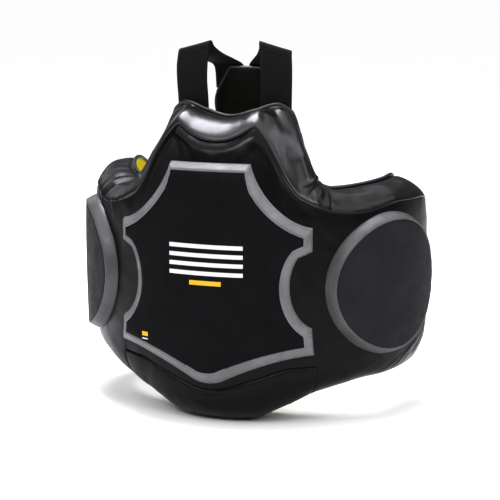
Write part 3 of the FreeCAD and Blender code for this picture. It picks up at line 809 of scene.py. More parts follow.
# ------------ lining and piping
def lining_grid(first, last):
    """Quilted lining between two angles: soft diamonds between stitched lines."""
    angles = np.linspace(first, last, int(abs(last - first) / LINING_STEP) + 1)
    share = np.linspace(0, 1, LINING_ROWS)
    low, _, _, top = edges(angles)
    foot = (low + REAR_LIFT)[:, None]
    height = foot + share[None, :] * (top[:, None] - foot)
    x = run_at(angles)[:, None] * 0.7 + 0 * height
    u, v = (x + height) / QUILT_PITCH, (x - height) / QUILT_PITCH
    puff = np.abs(np.sin(math.pi * u) * np.sin(math.pi * v)) ** 0.45
    edge = held(np.minimum(height - foot, top[:, None] - height) / (10 * MM))
    edge = edge * held((WING_END - np.abs(angles[:, None])) / 2.5)
    # Flat where a ring's tab is sewn on.
    tab = np.maximum(np.abs(np.abs(angles[:, None]) - TAB_ANGLE) / 11,
                     np.abs(height - RING_HEIGHT) / (33 * MM))
    edge = edge * held((tab - 0.8) / 0.2)
    stand = (3.6 * puff - 1.2) * MM * edge + 0.3 * MM * waves(x, height, 20 * MM, 8, 21)
    radius = lining_radius(angles)[:, None] - stand
    points = spot(angles[:, None], radius, height)
    return points, stacked(x, height)


def build_lining():
    """The quilted lining in three panels, one to a body."""
    spans = [("front", "front_lining", -FLEX_ANGLE, FLEX_ANGLE, 0),
             ("right", "right_wing_lining", FLEX_ANGLE, WING_END, 1),
             ("left", "left_wing_lining", -WING_END, -FLEX_ANGLE, -1)]
    for side, node, first, last, sign in spans:
        points, flat = lining_grid(first, last)
        faces = grid_faces(*points.shape[:2], flip=True)
        piece = make_mesh(side + "_quilted_lining", points, faces, flat)
        where = {"blend": wing_blend(sign)} if sign else {"body": "front_body"}
        finish_piece(piece, LINING, "lining", (node,), fill=0.5, **where)


def bead_path(first, last, upper):
    """Path of the piping along an edge of the lining, between two angles."""
    angles = np.linspace(first, last, int(abs(last - first) / 0.5) + 1)
    low, _, _, top = edges(angles)
    height = top + 0.6 * BEAD_RADIUS if upper else low + REAR_LIFT - 0.6 * BEAD_RADIUS
    path = spot(angles, lining_radius(angles) + 0.6 * MM, height)
    if abs(last) < WING_END:
        return path
    # It turns round the wing's corner and runs to the middle of the rear end.
    end = spot(last, lining_radius(last) + 0.6 * MM, np.linspace(height[-1], END_MIDDLE, 60)[1:])
    return np.vstack([path, end + rearwards(last) * 1.5 * MM])


def build_piping():
    """Piping along the rear edges."""
    for edge, upper in (("top", True), ("bottom", False)):
        path = bead_path(-FLEX_ANGLE, FLEX_ANGLE, upper)
        front = tube("front_%s_piping_cord" % edge, path, BEAD_RADIUS)
        finish_piece(front, PIPING, "gloss_vinyl", ("front_%s_piping" % edge,), "front_body")
        for side, sign in SIDES:
            path = bead_path(FLEX_ANGLE * sign, WING_END * sign, upper)
            cord = tube("%s_wing_%s_piping_cord" % (side, edge), path, BEAD_RADIUS)
            finish_piece(cord, PIPING, "gloss_vinyl", ("%s_wing_%s_piping" % (side, edge),),
                         blend=wing_blend(sign))


# ------------ the shield
def arc(start, middle, end, count):
    """Points on the circle through three points of a plane."""
    (ax, ay), (bx, by), (cx, cy) = start, middle, end
    d = 2 * (ax * (by - cy) + bx * (cy - ay) + cx * (ay - by))
    a2, b2, c2 = ax * ax + ay * ay, bx * bx + by * by, cx * cx + cy * cy
    ux = (a2 * (by - cy) + b2 * (cy - ay) + c2 * (ay - by)) / d
    uy = (a2 * (cx - bx) + b2 * (ax - cx) + c2 * (bx - ax)) / d
    radius = math.hypot(ax - ux, ay - uy)
    turns = np.unwrap([math.atan2(y - uy, x - ux) for x, y in (start, middle, end)])
    t = np.linspace(turns[0], turns[2], count)
    return stacked(ux + radius * np.cos(t), uy + radius * np.sin(t))


def laid_out(angle, height_mm):
    """A place on the shield, as seen on the flat plane that its outline was drawn on."""
    height = height_mm * MM
    a = math.radians(angle)
    scale = CUT_PLANE / ((cover_radius(angle, height) + PAD_STAND) * math.cos(a))
    return CUT_PLANE * math.tan(a), HUB_HEIGHT + (height - HUB_HEIGHT) * scale


def shield_outline(spacing):
    """Outline of the belly shield as (run round the cover, height), evenly spaced."""
    top, neck, prong_top = laid_out(15.7, 399), laid_out(25.0, 334), laid_out(37.1, 306)
    prong_end, waist_top = laid_out(37.1, 271), laid_out(32.2, 262)
    waist, tip_top, tip_end = laid_out(29.4, 210), laid_out(37.1, 155), laid_out(37.9, 114)
    foot, foot_side, apex = laid_out(20.0, 98), laid_out(5.0, 70.5), laid_out(0.0, 67)
    right = [arc(top, neck, prong_top, 60), np.array([prong_end]), np.array([waist_top]),
             arc(waist_top, waist, tip_top, 60)[1:], np.array([tip_end]),
             arc(tip_end, foot, foot_side, 60)[1:],
             arc(foot_side, apex, (-foot_side[0], foot_side[1]), 24)[1:12]]
    half = np.concatenate(right + [np.array([[0.0, apex[1]]])])
    whole = np.concatenate([half, (half * [-1, 1])[-2::-1]])
    # Back from the cut plane to the wrap.
    angle = np.degrees(np.arctan2(whole[:, 0], CUT_PLANE))
    height = whole[:, 1].copy()
    for _ in range(8):
        radius = cover_radius(angle, height) + PAD_STAND
        scale = CUT_PLANE / (radius * np.cos(np.radians(angle)))
        height = HUB_HEIGHT + (whole[:, 1] - HUB_HEIGHT) / scale
    corners = stacked(run_at(angle), height)
    return resampled(np.concatenate([corners, corners[:1]]), spacing)


def resampled(line, spacing):
    """Closed line with points about evenly spaced, which keeps its sharp corners."""
    step = np.diff(line, axis=0)
    turn = np.arctan2(step[:, 1], step[:, 0])
    bend = np.abs((np.diff(np.concatenate([turn[-1:], turn])) + math.pi) % (2 * math.pi) - math.pi)
    sharp = [i for i in range(len(step)) if bend[i] > math.radians(18)]
    run = lengths(line)
    places = []
    for first, last in zip(sharp, sharp[1:] + [sharp[0] + len(step)]):
        begin = run[first]
        end = run[last] if last < len(run) else run[-1] + run[last - len(step)]
        count = max(int(round((end - begin) / spacing)), 1)
        places.append(begin + (end - begin) * np.arange(count) / count)
    places = np.concatenate(places) % run[-1]
    return sampled(places, run, line)


def distance_inside(points, outline):
    """Distance of each point from the outline, and whether it is inside."""
    a, b = outline, np.roll(outline, -1, 0)
    best = np.full(len(points), 1e9)
    inside = np.zeros(len(points), bool)
    for (ax, ay), (bx, by) in zip(a, b):
        dx, dy = bx - ax, by - ay
        t = held(((points[:, 0] - ax) * dx + (points[:, 1] - ay) * dy) / (dx * dx + dy * dy))
        best = np.minimum(best, np.hypot(points[:, 0] - ax - t * dx, points[:, 1] - ay - t * dy))
        crosses = (ay > points[:, 1]) != (by > points[:, 1])
        with np.errstate(divide="ignore", invalid="ignore"):
            at = ax + (points[:, 1] - ay) / dy * dx if dy else np.full(len(points), np.inf)
        inside ^= crosses & (points[:, 0] < at)
    return best, inside


def inward(outline):
    """Unit direction into a closed outline at each of its points."""
    along = unit(np.roll(outline, -1, 0) - np.roll(outline, 1, 0))
    into = stacked(along[:, 1], -along[:, 0])
    _, inside = distance_inside(outline + into * MM, outline)
    return into if inside.mean() > 0.5 else -into


def band_scale(height):
    """How wide the shield's binding is at a height, against its nominal width."""
    below_top = smooth_step(held((396 * MM - height) / (40 * MM)))
    near_foot = held((130 * MM - height) / (50 * MM))
    return 0.58 + 0.36 * below_top + 0.10 * near_foot


def offset_ring(outline, into, depth):
    """Points depth inside the outline, without those that fall past a corner."""
    deep = depth * band_scale(outline[:, 1])
    ring = outline + into * deep[:, None]
    near, inside = distance_inside(ring, outline)
    keep = inside & (near > deep - 0.12 * MM)
    return ring[keep]


def shield_depth(flat, outline):
    """Depth inside the outline in nominal binding widths, and whether a point is inside."""
    depth, inside = distance_inside(flat, outline)
    return depth / band_scale(flat[:, 1]), inside


def on_cover(flat, stand):
    """Place on the cover of (run, height), stood off by stand."""
    angle = angle_at(flat[:, 0])
    return spot(angle, cover_radius(angle, flat[:, 1]) + stand, flat[:, 1])


def eased(depth, places, heights):
    """Smooth height for each depth, through the given places."""
    i = np.clip(np.searchsorted(places, depth, "right") - 1, 0, len(places) - 2)
    places, heights = np.asarray(places), np.asarray(heights)
    t = smooth_step(held((depth - places[i]) / (places[i + 1] - places[i])))
    return heights[i] * (1 - t) + heights[i + 1] * t


SHIELD_DEPTHS = [0, 1 * MM, 3 * MM, 7 * MM, SHIELD_BAND - 3 * MM, SHIELD_BAND,
                 SHIELD_BAND + 3.5 * MM, 60 * MM]
SHIELD_HEIGHTS = [h * MM for h in (5.0, 6.8, 8.6, 11.4, 15.2, 14.4, 15.9, 16.8)]


def shield_height(flat, depth):
    """How far the shield stands off the cover at each point."""
    stand = eased(depth, SHIELD_DEPTHS, SHIELD_HEIGHTS)
    stand = stand + 0.35 * MM * waves(flat[:, 0], flat[:, 1], 120 * MM, 8, 31)
    band = depth < SHIELD_BAND
    ripple = 0.34 * MM * waves(flat[:, 0], flat[:, 1], 14 * MM, 10, 32)
    return stand + ripple * band * held(depth / (4 * MM))


def build_shield():
    """The shield's face and binding, cut from one triangulated layout."""
    outline = shield_outline(2.2 * MM)
    into = inward(outline)
    rings = [outline]
    edges_2d = [(i, (i + 1) % len(outline)) for i in range(len(outline))]
    count = len(outline)
    for depth in (0.7, 1.6, 3, 5, 8, 11, 14, 15.6, 17, 18.4, 20.5, 24):
        ring = offset_ring(outline, into, depth * MM)
        if depth == 17:
            gaps = np.linalg.norm(np.roll(ring, -1, 0) - ring, axis=1)
            edges_2d += [(count + i, count + (i + 1) % len(ring)) for i in range(len(ring))
                         if gaps[i] < 12 * MM]
        rings.append(ring)
        count += len(ring)
    low, high = outline.min(0), outline.max(0)
    gx, gy = np.meshgrid(np.arange(low[0], high[0], 6 * MM), np.arange(low[1], high[1], 6 * MM))
    middle = stacked(gx.ravel(), gy.ravel())
    near, inside = distance_inside(middle, outline)
    rings.append(middle[inside & (near > 28 * MM)])
    points = np.concatenate(rings)
    verts, _, faces, _, _, _ = delaunay_2d_cdt([Vector(p) for p in points], edges_2d, [], 0, 1e-7)
    flat = np.array([tuple(v) for v in verts])
    depth, inside = shield_depth(flat, outline)
    depth = np.where(inside | (depth < 1e-5), depth, 0)
    faces = np.array([f[:] for f in faces])
    centre_depth, centre_inside = shield_depth(flat[faces].mean(1), outline)
    stand = shield_height(flat, depth)
    place = on_cover(flat, stand)
    band = centre_inside & (centre_depth < SHIELD_BAND)
    face = centre_inside & (centre_depth >= SHIELD_BAND)
    cushion = part_mesh("shield_cushion_face", place, faces[face], flat)
    finish_piece(cushion, SHIELD, "shield_vinyl", ("shield_face", "shield_foam"), "front_body",
                 fill=1.0)
    wall_points, wall_faces, wall_flat = shield_wall(outline, into, len(flat), flat)
    binding = part_mesh("shield_binding_band", np.concatenate([place, wall_points]),
                        np.concatenate([faces[band], wall_faces]),
                        np.concatenate([flat, wall_flat]))
    finish_piece(binding, BINDING, "binding", ("shield_binding",), "front_body")
    return outline, into


def shield_wall(outline, into, start, flat):
    """Side of the shield, from its rolled edge down into the cover, as triangles."""
    index = [int(np.argmin(np.hypot(*(flat - p).T))) for p in outline]
    rows = [(-0.5, 3.8), (-0.7, 2.2), (-0.5, 0.4), (0.2, -4.0)]
    points = [on_cover(outline + into * out * MM, h * MM) for out, h in rows]
    flats = [outline + into * (out - 16 + h) * MM for out, h in rows]
    count = len(outline)
    levels = [index] + [[start + k * count + i for i in range(count)] for k in range(len(rows))]
    triangles = []
    for upper, lower in zip(levels, levels[1:]):
        for i in range(count):
            j = (i + 1) % count
            triangles += [(upper[i], upper[j], lower[j]), (upper[i], lower[j], lower[i])]
    return np.concatenate(points), np.array(triangles), np.concatenate(flats)


def part_mesh(name, points, faces, flat):
    """Mesh of only the given triangles, all facing away from the wrap axis."""
    used, fresh = np.unique(faces, return_inverse=True)
    faces = fresh.reshape(-1, 3)
    points, flat = points[used], flat[used]
    corner = points[faces]
    normal = np.cross(corner[:, 1] - corner[:, 0], corner[:, 2] - corner[:, 0])
    outwards = corner.mean(1) - [0, WRAP_Y, 0]
    outwards[:, 2] = 0
    out = np.einsum("ij,ij->i", normal, outwards) < 0
    faces[out] = faces[out][:, ::-1]
    return cleaned(make_mesh(name, points, faces.tolist(), flat),
                   lambda place: Vector((place.x, place.y - WRAP_Y, 0)))


# ------------ stitches
def stitches(name, path, up, length, gap, radius):
    """Row of thread stitches along a path of points, lying across the direction up."""
    path, up = np.asarray(path, float), np.asarray(up, float)
    run = lengths(path)
    t, around = np.linspace(0, 1, 5), 6
    points, faces = [], []
    for begin in np.arange(gap, run[-1] - length, length + gap):
        places = begin + length * t
        line, normal = sampled(places, run, path), sampled(places, run, up)
        side = np.cross(unit(line[-1] - line[0]), normal)
        sink = (radius * 0.55 - radius * 1.3 * np.abs(2 * t - 1) ** 3)[:, None] * normal
        thick = (radius * (1 - 0.55 * np.abs(2 * t - 1) ** 3))[:, None, None]
        ring, _ = sections(side, normal, around)
        start = len(points) * len(t) * around
        points.append(((line + sink)[:, None] + ring * thick).reshape(-1, 3))
        faces += [[start + k for k in face] for face in capped_faces(len(t), around)]
    points = np.concatenate(points)
    return make_mesh(name, points, faces, points[:, :2])


def shield_stitches(outline, into):
    """Two rows of stitches round the shield's binding."""
    for name, depth in (("outer", 2.6), ("inner", 14.4)):
        ring = offset_ring(outline, into, depth * MM)
        ring = np.concatenate([ring, ring[:1]])
        stand = shield_height(ring, depth * MM)
        path = on_cover(ring, stand)
        up = unit(on_cover(ring, stand + MM) - path)
        row = stitches("shield_%s_stitches" % name, path, up, STITCH, STITCH_GAP, 0.32 * MM)
        finish_piece(row, GREY_THREAD, "binding", (), "front_body")


# ------------ plain print on the shield
def decal(name, centre, half, material):
    """Thin printed bar that follows the shield's face, from its middle as (run, height) and its
    half width and half height, all in millimetres."""
    half_width, half_height = half[0] * MM, half[1] * MM
    u = np.linspace(-1, 1, 25)[:, None] * half_width
    v = np.linspace(-1, 1, 25)[None, :] * half_height
    u, v = np.broadcast_arrays(u, v)
    flat = stacked(centre[0] * MM + u, centre[1] * MM + v).reshape(-1, 2)
    stand = shield_height(flat, 60 * MM) + 0.25 * MM
    edge = np.maximum(np.abs(u / half_width), np.abs(v / half_height)).ravel()
    stand = stand - np.where(edge > 0.999, 0.35 * MM, 0)
    piece = make_mesh(name, on_cover(flat, stand), grid_faces(25, 25), flat)
    return finish_piece(piece, material, "shield_vinyl", (), "front_body")


def build_print():
    """Plain bars in place of the marks on the real shield."""
    for k in range(BARS):
        decal("print_bar_%d" % (k + 1), (1, BAR_TOP - BAR_STEP * k), BAR_HALF, WHITE_PRINT)
    decal("print_gold_bar", GOLD_BAR, GOLD_HALF, GOLD_PRINT)
    decal("print_corner_square", MARK_SQUARE, SQUARE_HALF, GOLD_PRINT)
    decal("print_corner_line", MARK_LINE, LINE_HALF, WHITE_PRINT)


# ------------ the side targets
def target_grid(radii, heights, sign, seam_ridge=False):
    """Rings of a target: each ring is a share of the way out and a stand-off."""
    turn = turns(144)
    sideways = np.linspace(-60, 60, 601)
    table = spot(TARGET_ANGLE + sideways, plan_radius(TARGET_ANGLE + sideways, COVER_PLAN), 0)
    across = (table - [0, WRAP_Y, 0]) @ rearwards(TARGET_ANGLE)
    width, height = np.array(radii).T[..., None]
    angle = TARGET_ANGLE + np.interp(width * np.cos(turn), across, sideways)
    angle = angle + (LEFT_TARGET_BACK if sign < 0 else 0)
    z = TARGET_HEIGHT + height * np.sin(turn)
    x = run_at(angle)
    stand = np.asarray(heights)[:, None] + 0.3 * MM * waves(x, z, 90 * MM, 8, 41)
    if seam_ridge:
        off = (turn - math.radians(101)) * TARGET_FACE[1]
        stand = stand - 1.1 * MM * bell(off, 1.2 * MM) + 0.9 * MM * bell(off - 3.5 * MM, 2.4 * MM)
        stand = stand + 0.25 * MM * waves(x, z, 15 * MM, 10, 42)
    points = spot(angle * sign, cover_radius(angle, z) + stand, z)
    return points, stacked(x * sign, z)


def closed_rings(name, points, flat, sign, centre=None):
    """Mesh of rings, one inside the next, with a fan in the middle if centre is given."""
    rings, count = points.shape[:2]
    faces = grid_faces(rings, count, wrap_rows=True, flip=sign > 0)
    points, flat = points.reshape(-1, 3), flat.reshape(-1, 2)
    if centre is not None:
        points, flat = np.vstack([points, centre]), np.vstack([flat, flat.mean(0)])
        last = (rings - 1) * count
        ring = [[last + j, last + (j + 1) % count, len(points) - 1] for j in range(count)]
        faces += [f[::-1] for f in ring] if sign < 0 else ring
    return make_mesh(name, points, faces, flat)


def between(share):
    """Half width and half height a share of the way from a target's face to its foot."""
    return tuple(f + (o - f) * share for f, o in zip(TARGET_FACE, TARGET_FOOT))


def build_targets():
    """Both side targets, each with its binding and stitches."""
    # (share of the way from the face's edge to the foot, stand-off from the cover in millimetres)
    wall = [(1.02, -3), (1.0, 0.6), (0.93, 2.4), (0.8, 5.2), (0.6, 8.9), (0.42, 11.9), (0.25, 14.3),
            (0.11, 15.8), (0.0, 16.3), (-0.09, 16.0), (-0.15, 15.0)]
    shares = np.concatenate([[1, 0.992, 0.982, 0.965, 0.94, 0.9], np.linspace(0.85, 0.03, 24)])
    inner = between(-0.15)
    for side, sign in SIDES:
        radii, heights = [between(s) for s, _ in wall], [h * MM for _, h in wall]
        points, flat = target_grid(radii, heights, sign, True)
        ring = closed_rings(side + "_target_ring", points, flat, sign)
        finish_piece(ring, TARGET_BINDING, "binding", (side + "_target_binding",), side + "_wing")
        depth = (1 - shares) * inner[0]
        stand = (15.0 * MM + 1.3 * MM * (1 - np.exp(-depth / (1.8 * MM)))
                 + 1.2 * MM * (1 - shares ** 2))
        points, flat = target_grid([(inner[0] * s, inner[1] * s) for s in shares], stand, sign)
        face = closed_rings(side + "_target_cushion", points, flat, sign, points[-1].mean(0))
        # The face takes the lighter copy of the shield's vinyl: painted light.
        finish_piece(face, LIT_TARGET, "target_vinyl", (side + "_target_face", side + "_target_foam"),
                     side + "_wing", fill=1.0)
        for name, share in (("outer", 0.86), ("inner", 0.06)):
            stand = np.interp(-share, [-s for s, _ in wall], [h for _, h in wall]) * MM
            path, _ = target_grid([between(share)], [stand], sign, True)
            up = spot(TARGET_ANGLE * sign, 1.0, 0) - [0, WRAP_Y, 0]
            path = np.concatenate([path[0], path[0][:1]])
            row = stitches("%s_target_%s_stitches" % (side, name), path,
                           np.tile(up, (len(path), 1)), STITCH, STITCH_GAP, 0.32 * MM)
            finish_piece(row, GREY_THREAD, "binding", (), side + "_wing")


# ------------ harness
def through(points, count):
    """Smooth line through the given points, with count points."""
    points = np.asarray(points, float)
    padded = np.vstack([2 * points[0] - points[1], points, 2 * points[-1] - points[-2]])
    chord = lengths(points[:, :3])
    at = np.linspace(0, chord[-1], count)
    i = np.clip(np.searchsorted(chord, at, "right") - 1, 0, len(points) - 2)
    t = ((at - chord[i]) / (chord[i + 1] - chord[i]))[:, None]
    p0, p1, p2, p3 = (padded[i + k] for k in range(4))
    m1, m2 = (p2 - p0) / 2, (p3 - p1) / 2
    return ((2 * t ** 3 - 3 * t ** 2 + 1) * p1 + (t ** 3 - 2 * t ** 2 + t) * m1
            + (-2 * t ** 3 + 3 * t ** 2) * p2 + (t ** 3 - t ** 2) * m2)


def ribbon(name, line, across, thick, cup=0.0):
    """Flat strap along line. across is its half width as a vector at each point, and cup is how
    far its edges curl."""
    line, across = np.asarray(line, float), np.asarray(across, float)
    normal = unit(np.cross(unit(np.gradient(line, axis=0)), across))
    u = np.array([-1, -0.985, -0.94, -0.86, -0.6, -0.3, 0, 0.3, 0.6, 0.86, 0.94, 0.985, 1])
    half = thick / 2 * np.array([0, 0.62, 0.92, 1, 0.93, 0.95, 0.96, 0.95, 0.93, 1, 0.92, 0.62, 0])
    loop_u = np.concatenate([u, u[-2:0:-1]])
    loop_h = np.concatenate([half, -half[-2:0:-1]])
    off = loop_h + cup * (loop_u ** 2 - 0.4)
    points = line[:, None] + across[:, None] * loop_u[:, None] + normal[:, None] * off[:, None]
    width = np.linalg.norm(across, axis=1)
    flat = stacked(lengths(line)[:, None], width[:, None] * loop_u)
    return make_mesh(name, points, capped_faces(len(line), len(loop_u)), flat), normal


def edge_stitches(name, line, across, normal, share, lift, blend):
    """Two rows of stitches along a strap, share of its half width from the middle."""
    for mark, u in (("a", -share), ("b", share)):
        path = line + across * u + normal * lift
        row = stitches("%s_%s" % (name, mark), path, normal, 3.4 * MM, 1.6 * MM, 0.3 * MM)
        finish_piece(row, THREAD, "webbing", blend=blend)


def build_shoulder_straps():
    """Both shoulder straps, in a front and a rear run."""
    for side, sign in SIDES:
        # (x, y, z, half width across x, and across z), in millimetres, from the neck to the pad.
        rise = [(67, -31, 440, 25, 0), (67, -31, 462, 25, 0), (67.5, -32, 486, 25, 0),
                (68.5, -34, 512, 25, -0.5), (68, -34.5, 536, 25.6, -3), (66.5, -33, 554, 26, -5.8)]
        over = [(66.5, -33, 554, 26, -5.8), (65.8, -31.8, 561.5, 26, -6.6),
                (65, -29.2, 565, 26, -7), (64, -26.2, 563.5, 26, -7), (62, -21, 557, 25.8, -6),
                (53, -8, 548.5, 25.2, -3.6), (40, 8, 541.5, 24.9, -1), (31, 19, 535, 25, 0),
                (28, 23.4, 525, 25, 0), (26, 23.5, 497, 25, 0)]
        for name, stations, count in (("front", rise, 60), ("rear", over, 110)):
            path = through(np.array(stations, float) * MM, count)
            line = path[:, :3] * [sign, 1, 1]
            across = stacked(path[:, 3], 0, path[:, 4] * sign)
            piece, normal = ribbon("%s_shoulder_strap_%s_web" % (side, name), line, across,
                                   STRAP_THICK, cup=-0.8 * MM if name == "front" else -0.3 * MM)
            if name == "front":
                bend = ("front_body", "shoulder_straps", (0, STRAP_Y, STRAP_BEND[0]),
                        (0, STRAP_Y, STRAP_BEND[1]))
            else:
                bend = ("shoulder_straps", "back_pad", (0, -0.0335, CREST_FLEX),
                        (0, -0.021, CREST_FLEX))
            nodes = ["%s_shoulder_strap_%s" % (side, name)] + ["strap_anchors"] * (name == "front")
            finish_piece(piece, WEBBING, "webbing", nodes, blend=bend)
            for mark, face in (("front", 1), ("back", -1)):
                edge_stitches("%s_strap_%s_%s_stitches" % (side, name, mark), line, across,
                              normal * face, 0.86, STRAP_THICK / 2 - 0.05 * MM, bend)


def pad_radius(turn):
    """Distance from the back pad's centre to its outline: a disc that tapers to a flat top."""
    x, z = np.cos(turn), np.sin(turn)
    shoulder = math.radians(25)
    side = np.array([PAD_RADIUS * math.cos(shoulder), PAD_RADIUS * math.sin(shoulder)])
    corner = np.array([PAD_TOP_HALF, PAD_TOP - PAD_CENTRE])
    edge = corner - side
    normal = np.array([edge[1], -edge[0]])
    slant = (side @ normal) / np.maximum(np.abs(x) * normal[0] + z * normal[1], 1e-9)
    flat_top = corner[1] / np.maximum(z, 1e-9)
    return np.where(z > math.sin(shoulder), np.minimum(slant, flat_top), PAD_RADIUS)


def build_back_pad():
    """The back pad: two stuffed panels and the binding round them."""
    turn = turns(160)
    radius = pad_radius(turn)
    radius = (radius + np.roll(radius, 1) + np.roll(radius, -1)) / 3 - 2 * MM
    shares = np.concatenate([[1.0, 0.985, 0.965, 0.94], np.linspace(0.9, 0.04, 22)])
    for name, face, nodes in (("back_pad_lining_panel", -1, ("pad_lining", "pad_foam")),
                              ("back_pad_cover_panel", 1, ("pad_back_cover",))):
        depth = (1 - shares)[:, None] * radius[None, :]
        x = shares[:, None] * radius * np.cos(turn)
        z = PAD_CENTRE + shares[:, None] * radius * np.sin(turn)
        crown = 2.2 * MM + (PAD_HALF_THICK - 1.6 * MM) * (1 - np.exp(-depth / (7 * MM)))
        stand = crown - 1.1 * MM * bell(depth - 11 * MM, 1.3 * MM)
        stand = stand + 0.4 * MM * waves(x, z, 26 * MM, 8, 51)
        points = stacked(x, PAD_Y + face * stand, z)
        piece = closed_rings(name, points, stacked(x, z), -face, points[-1].mean(0))
        finish_piece(piece, PAD_CLOTH, "pad_fabric", nodes, "back_pad", fill=0.7)
    radius = radius + 0.6 * MM
    edge = stacked(radius * np.cos(turn), PAD_Y, PAD_CENTRE + radius * np.sin(turn))
    binding = tube("back_pad_edge_binding", edge, 3.0 * MM, closed=True)
    finish_piece(binding, PIPING, "gloss_vinyl", ("pad_binding",), "back_pad")


def side_strap_line(height, y, sign):
    """Middle of a side strap: it hangs down with a slight wave."""
    below = held((SIDE_FLEX - height) / SIDE_STRAP_HANG)
    wave = SIDE_STRAP_WAVE * np.sin(below * 5) * below
    return stacked(SIDE_STRAP_X * sign, y + wave, height)


def build_side_straps():
    """Both side straps with their hook and loop tapes."""
    y = PAD_Y + PAD_HALF_THICK + 0.3 * MM + 1.3 * MM
    half = STRAP_WIDTH / 2
    for side, sign in SIDES:
        line = side_strap_line(np.linspace(SIDE_STRAP_TOP, SIDE_STRAP_END, 190), y, sign)
        across = np.tile([half, 0, 0], (len(line), 1))
        bend = ("back_pad", side + "_side_strap", (0, y, SIDE_FLEX + 5 * MM),
                (0, y, SIDE_FLEX - 5 * MM))
        piece, normal = ribbon(side + "_side_strap_web", line, across, SIDE_STRAP_THICK, 0.2 * MM)
        finish_piece(piece, WEBBING, "webbing", (side + "_side_strap", "side_strap_ends"),
                     blend=bend)
        edge_stitches(side + "_side_strap_stitches", line, across, normal, 0.9, 1.25 * MM, bend)
        patches = (("hook_patch", HOOK_SPAN, HOOKS), ("loop_patch", LOOP_SPAN, LOOPS))
        for name, (low, high), material in patches:
            patch_line = side_strap_line(np.linspace(high * MM, low * MM, 60), y, sign)
            patch, _ = ribbon("%s_%s_tape" % (side, name), patch_line + [0, 1.9 * MM, 0],
                              np.tile([half - 2 * MM, 0, 0], (len(patch_line), 1)), TAPE_THICK)
            finish_piece(patch, material, "hook_and_loop", ("%s_%s" % (side, name),),
                         side + "_side_strap")


def ring_place(local, sign):
    """From the ring's own frame (pin upright, reach along the second axis) to the wing."""
    along = rearwards(RING_ANGLE)
    out = np.array([along[1], -along[0], 0.0])
    pin = np.array([0, WRAP_Y, RING_HEIGHT]) + out * (lining_radius(RING_ANGLE) - RING_OFF)
    return (pin + local @ np.array([out, along, [0, 0, 1]])) * [sign, 1, 1]


def ring_path():
    """Centre line of the ring: a rectangle with rounded corners."""
    path = []
    corners = [(0, -RING_HALF), (0, RING_HALF), (RING_REACH, RING_HALF), (RING_REACH, -RING_HALF)]
    for k, corner in enumerate(corners):
        here, after = np.array(corner), np.array(corners[(k + 1) % 4])
        before = np.array(corners[k - 1])
        enter = here + unit(before - here) * RING_BEND
        leave = here + unit(after - here) * RING_BEND
        path += [(1 - t) ** 2 * enter + 2 * t * (1 - t) * here + t * t * leave
                 for t in np.linspace(0, 1, 8)]
        far = after + unit(here - after) * RING_BEND
        path += [leave + (far - leave) * t for t in np.linspace(0, 1, 16)[1:-1]]
    path = np.array(path)
    return stacked(0, path[:, 0], path[:, 1])


def build_rings():
    """The moulded rings, with their tabs."""
    for side, sign in SIDES:
        path = ring_path()
        thick = np.where(path[:, 1] < 0.2 * MM, RING_PIN, RING_WIRE / 2)
        ring = tube(side + "_moulded_ring", ring_place(path, sign), thick, closed=True)
        finish_piece(ring, RING, "ring_plastic", (side + "_strap_ring",), side + "_ring")
        build_ring_tab(side, sign)


def build_ring_tab(side, sign):
    """Webbing tab looped round the ring's pin and sewn flat to the lining."""
    turn = np.linspace(-0.75 * math.pi, 0, 26)
    loop = TAB_LOOP * stacked(np.cos(turn), np.sin(turn), 0)
    # The tail runs forward along the lining.
    run = np.linspace(2 * MM, TAB_LENGTH, 40)
    angle = RING_ANGLE - np.degrees(run / lining_radius(RING_ANGLE))
    gap = RING_OFF - TAB_LOOP
    stand = 1.4 * MM + (gap - 1.4 * MM) * np.exp(-run / (7 * MM))
    tail = spot(angle * sign, lining_radius(angle) - stand, RING_HEIGHT)
    line = np.vstack([ring_place(loop, sign), tail])
    across = np.tile([0, 0, TAB_HALF], (len(line), 1))
    piece, _ = ribbon(side + "_ring_tab_web", line, across, 1.4 * MM)
    finish_piece(piece, WEBBING, "webbing", (side + "_ring_tab",), side + "_wing")
    inwards = unit(np.array([0, WRAP_Y, RING_HEIGHT]) - tail)
    for mark, height in (("upper", 17), ("lower", -17)):
        path = tail + np.array([0, 0, height * MM]) + inwards * 0.65 * MM
        row = stitches("%s_ring_tab_%s_stitches" % (side, mark), path, inwards, STITCH, 1.4 * MM,
                       0.35 * MM)
        finish_piece(row, GREY_THREAD, "webbing", (), side + "_wing")


def build_strap_patches():
    """Padded patches that fill the hollow between the lining and each sewn strap end."""
    for side, sign in SIDES:
        x = np.linspace(*PATCH_SPAN, 40)[:, None] * MM
        u = np.linspace(0, 1, 40)[None, :]
        angle = np.degrees(np.arctan2(x, WRAP_Y - STRAP_Y))
        front = STRAP_Y - 1.8 * MM
        back = WRAP_Y - np.sqrt(np.maximum(lining_radius(angle) ** 2 - x ** 2, 0)) + 1 * MM
        y = front + (np.minimum(back, front) - front) * np.maximum(0, 2 * u - 1)
        height = np.where(u < 0.5, (436 + 26 * u) * MM, 449 * MM)
        piece = make_mesh(side + "_strap_patch_pad", stacked(x * sign, y, height),
                          grid_faces(40, 40, flip=sign > 0), stacked(x, height))
        finish_piece(piece, LINING, "lining", ("strap_patches",), "front_body", fill=0.6)


# ------------ studio
def build_stage():
    """Pale floor."""
    bpy.ops.mesh.primitive_plane_add(size=60, location=(0, 0, -0.0004))
    floor = bpy.context.active_object
    floor.name = "studio_floor"
    n = Nodes("studio_floor", Roughness=0.9, Specular_IOR_Level=0.1)
    n.colour(n.noise(3, 2, 0.5), (0.86, 0.86, 0.86), (0.88, 0.88, 0.88))
    floor.data.materials.append(n.material)


